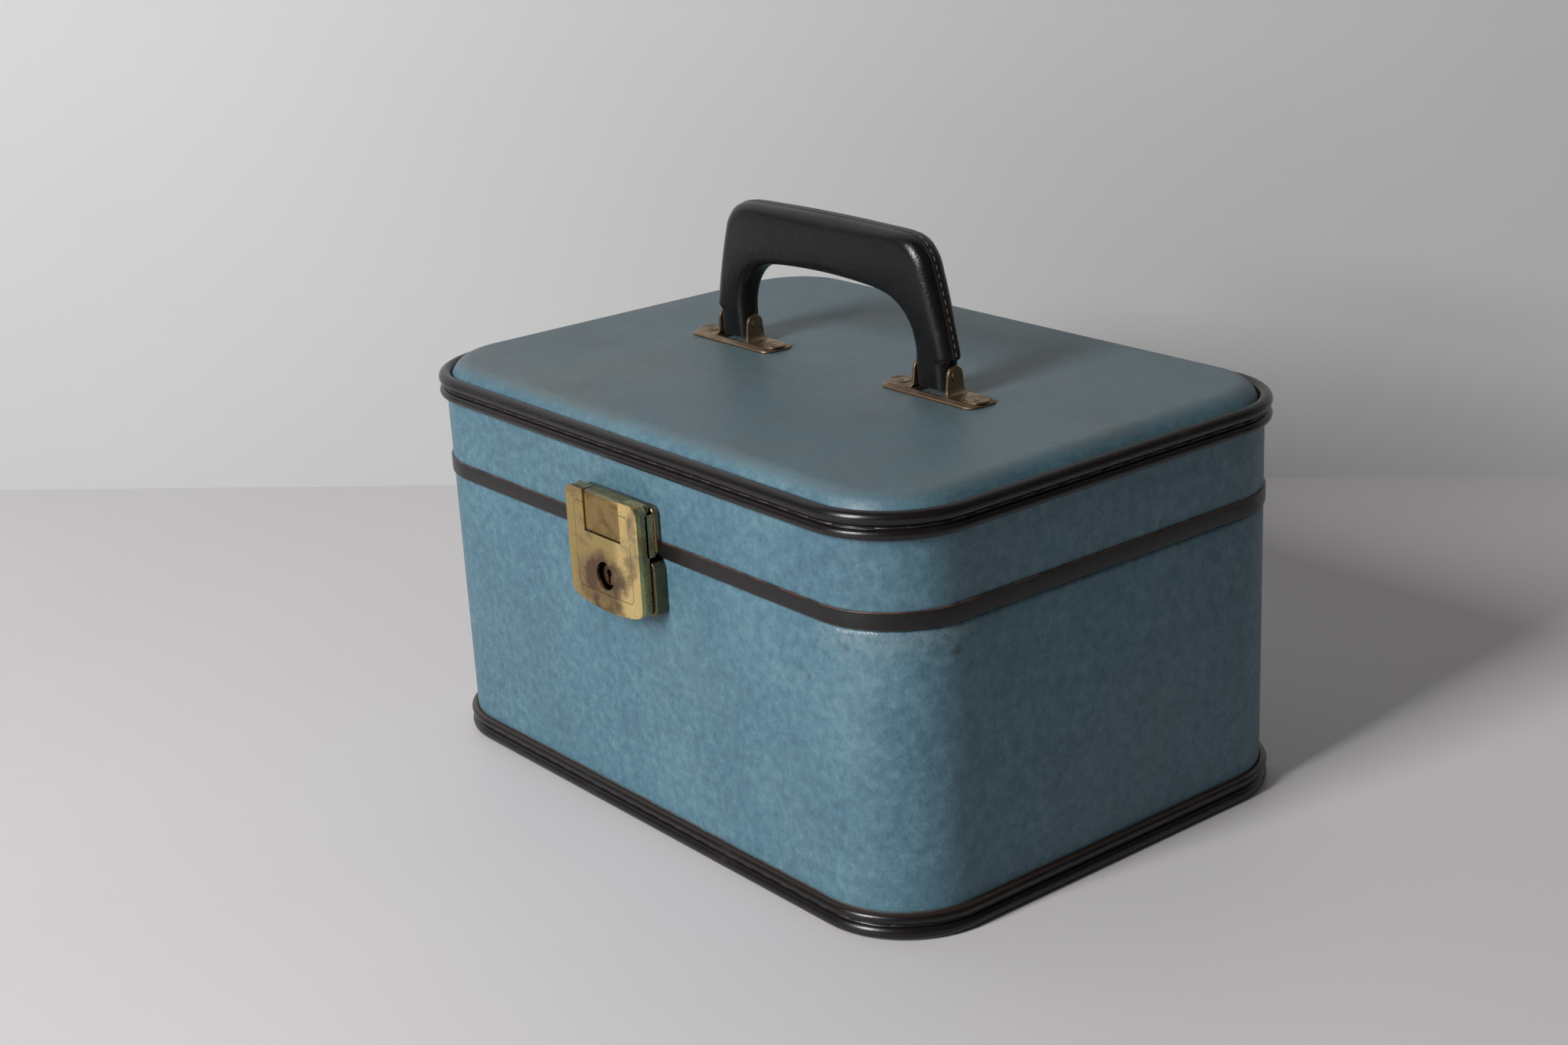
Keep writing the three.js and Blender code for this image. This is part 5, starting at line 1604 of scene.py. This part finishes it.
for side in (-1, 1):
    wall_span = sorted((side * (hasp_half - lock_sheet), side * hasp_half))
    pieces.append(block(wall_span, side_wall_depths, side_wall_heights))
hasp = join_pieces("hasp_shell_brass", pieces)
finish_piece(hasp, hasp_brass, "hasp", ["hasp_shell"])
dress(steel, "hasp_pin", "hasp_staple")


# The studio: a pale painted table against a pale wall, lit by one tall window in front, and the
# camera where the photograph was taken from.

stage_size = 8
world_strength = 0.12
window_width = 0.6
window_height = 1.2
window_power = 84
window_place = Vector((0.12, -2.165, 1.35))
window_aim = Vector((0, 0, 0.1))


def painted(name, light, dark):
    """Pale paint, a little cloudy, with a few faint scuffs."""
    paint = Finish(name, roughness=0.55)
    base = paint.mix(paint.noise(3.0, detail=5.0), dark, light)
    base = paint.mix(paint.times(paint.patched(24.0, 0.04, 0.1), 0.2), base, colour(170, 164, 156))
    paint.done(base)
    return paint


def stage_plane(name, turn, place, paint):
    bpy.ops.object.select_all(action="DESELECT")
    bpy.ops.mesh.primitive_plane_add(size=stage_size, rotation=turn, location=place)
    plane = bpy.context.object
    plane.name = name
    plane.data.materials.append(paint.material)


table_paint = painted("pale table", colour(200, 197, 198), colour(192, 189, 190))
stage_plane("table", (0, 0, 0), (0, 0, 0), table_paint)

# The wall is seen only from its front, so that a view from behind the case looks through it.
wall_paint = painted("pale wall", colour(184, 184, 184), colour(176, 176, 176))
clear = wall_paint.node("BsdfTransparent").outputs["BSDF"]
behind = wall_paint.node("NewGeometry").outputs["Backfacing"]
seen = wall_paint.node("MixShader", {0: behind, 1: wall_paint.shader.outputs["BSDF"], 2: clear})
surface = wall_paint.tree.nodes["Material Output"].inputs["Surface"]
wall_paint.tree.links.new(seen.outputs["Shader"], surface)
wall_left = Vector((-0.6961, -0.1318, 0))
wall_right = Vector((0.0139, 0.5556, 0))
wall_run = wall_right - wall_left
wall_heading = math.atan2(wall_run.y, wall_run.x)
stage_plane("wall", (math.pi / 2, 0, wall_heading), (wall_left + wall_right) / 2, wall_paint)

world = bpy.data.worlds.new("studio")
bpy.context.scene.world = world
world.use_nodes = True
background = world.node_tree.nodes["Background"]
background.inputs["Color"].default_value = colour(222, 216, 208)
background.inputs["Strength"].default_value = world_strength

window_data = bpy.data.lights.new("window", "AREA")
window_data.shape = "RECTANGLE"
window_data.size = window_width
window_data.size_y = window_height
window_data.energy = window_power
window_light = bpy.data.objects.new("window", window_data)
window_light.location = window_place
window_light.rotation_euler = (window_aim - window_place).to_track_quat("-Z", "Y").to_euler()
bpy.context.scene.collection.objects.link(window_light)

camera_place = Vector((0.77722, -0.64208 + case_middle_y, 0.46075))
camera_yaw = math.radians(-51.933)
camera_pitch = math.radians(-19.173)
camera_roll = math.radians(-3.055)
camera_near = 0.01
focal_pixels = 3089.6
picture_width = 2048

forward = Vector((
    math.sin(camera_yaw) * math.cos(camera_pitch),
    math.cos(camera_yaw) * math.cos(camera_pitch),
    math.sin(camera_pitch),
))
level = Vector((math.cos(camera_yaw), -math.sin(camera_yaw), 0))
upright = level.cross(forward)
right = level * math.cos(camera_roll) + upright * math.sin(camera_roll)
up = upright * math.cos(camera_roll) - level * math.sin(camera_roll)
camera_data = bpy.data.cameras.new("camera")
camera_data.lens = focal_pixels / picture_width * camera_data.sensor_width
camera_data.clip_start = camera_near
camera = bpy.data.objects.new("camera", camera_data)
camera.matrix_world = Matrix.Translation(camera_place) @ Matrix((right, up, -forward)).transposed().to_4x4()
bpy.context.scene.collection.objects.link(camera)
bpy.context.scene.camera = camera
bpy.context.scene.view_settings.view_transform = "Standard"
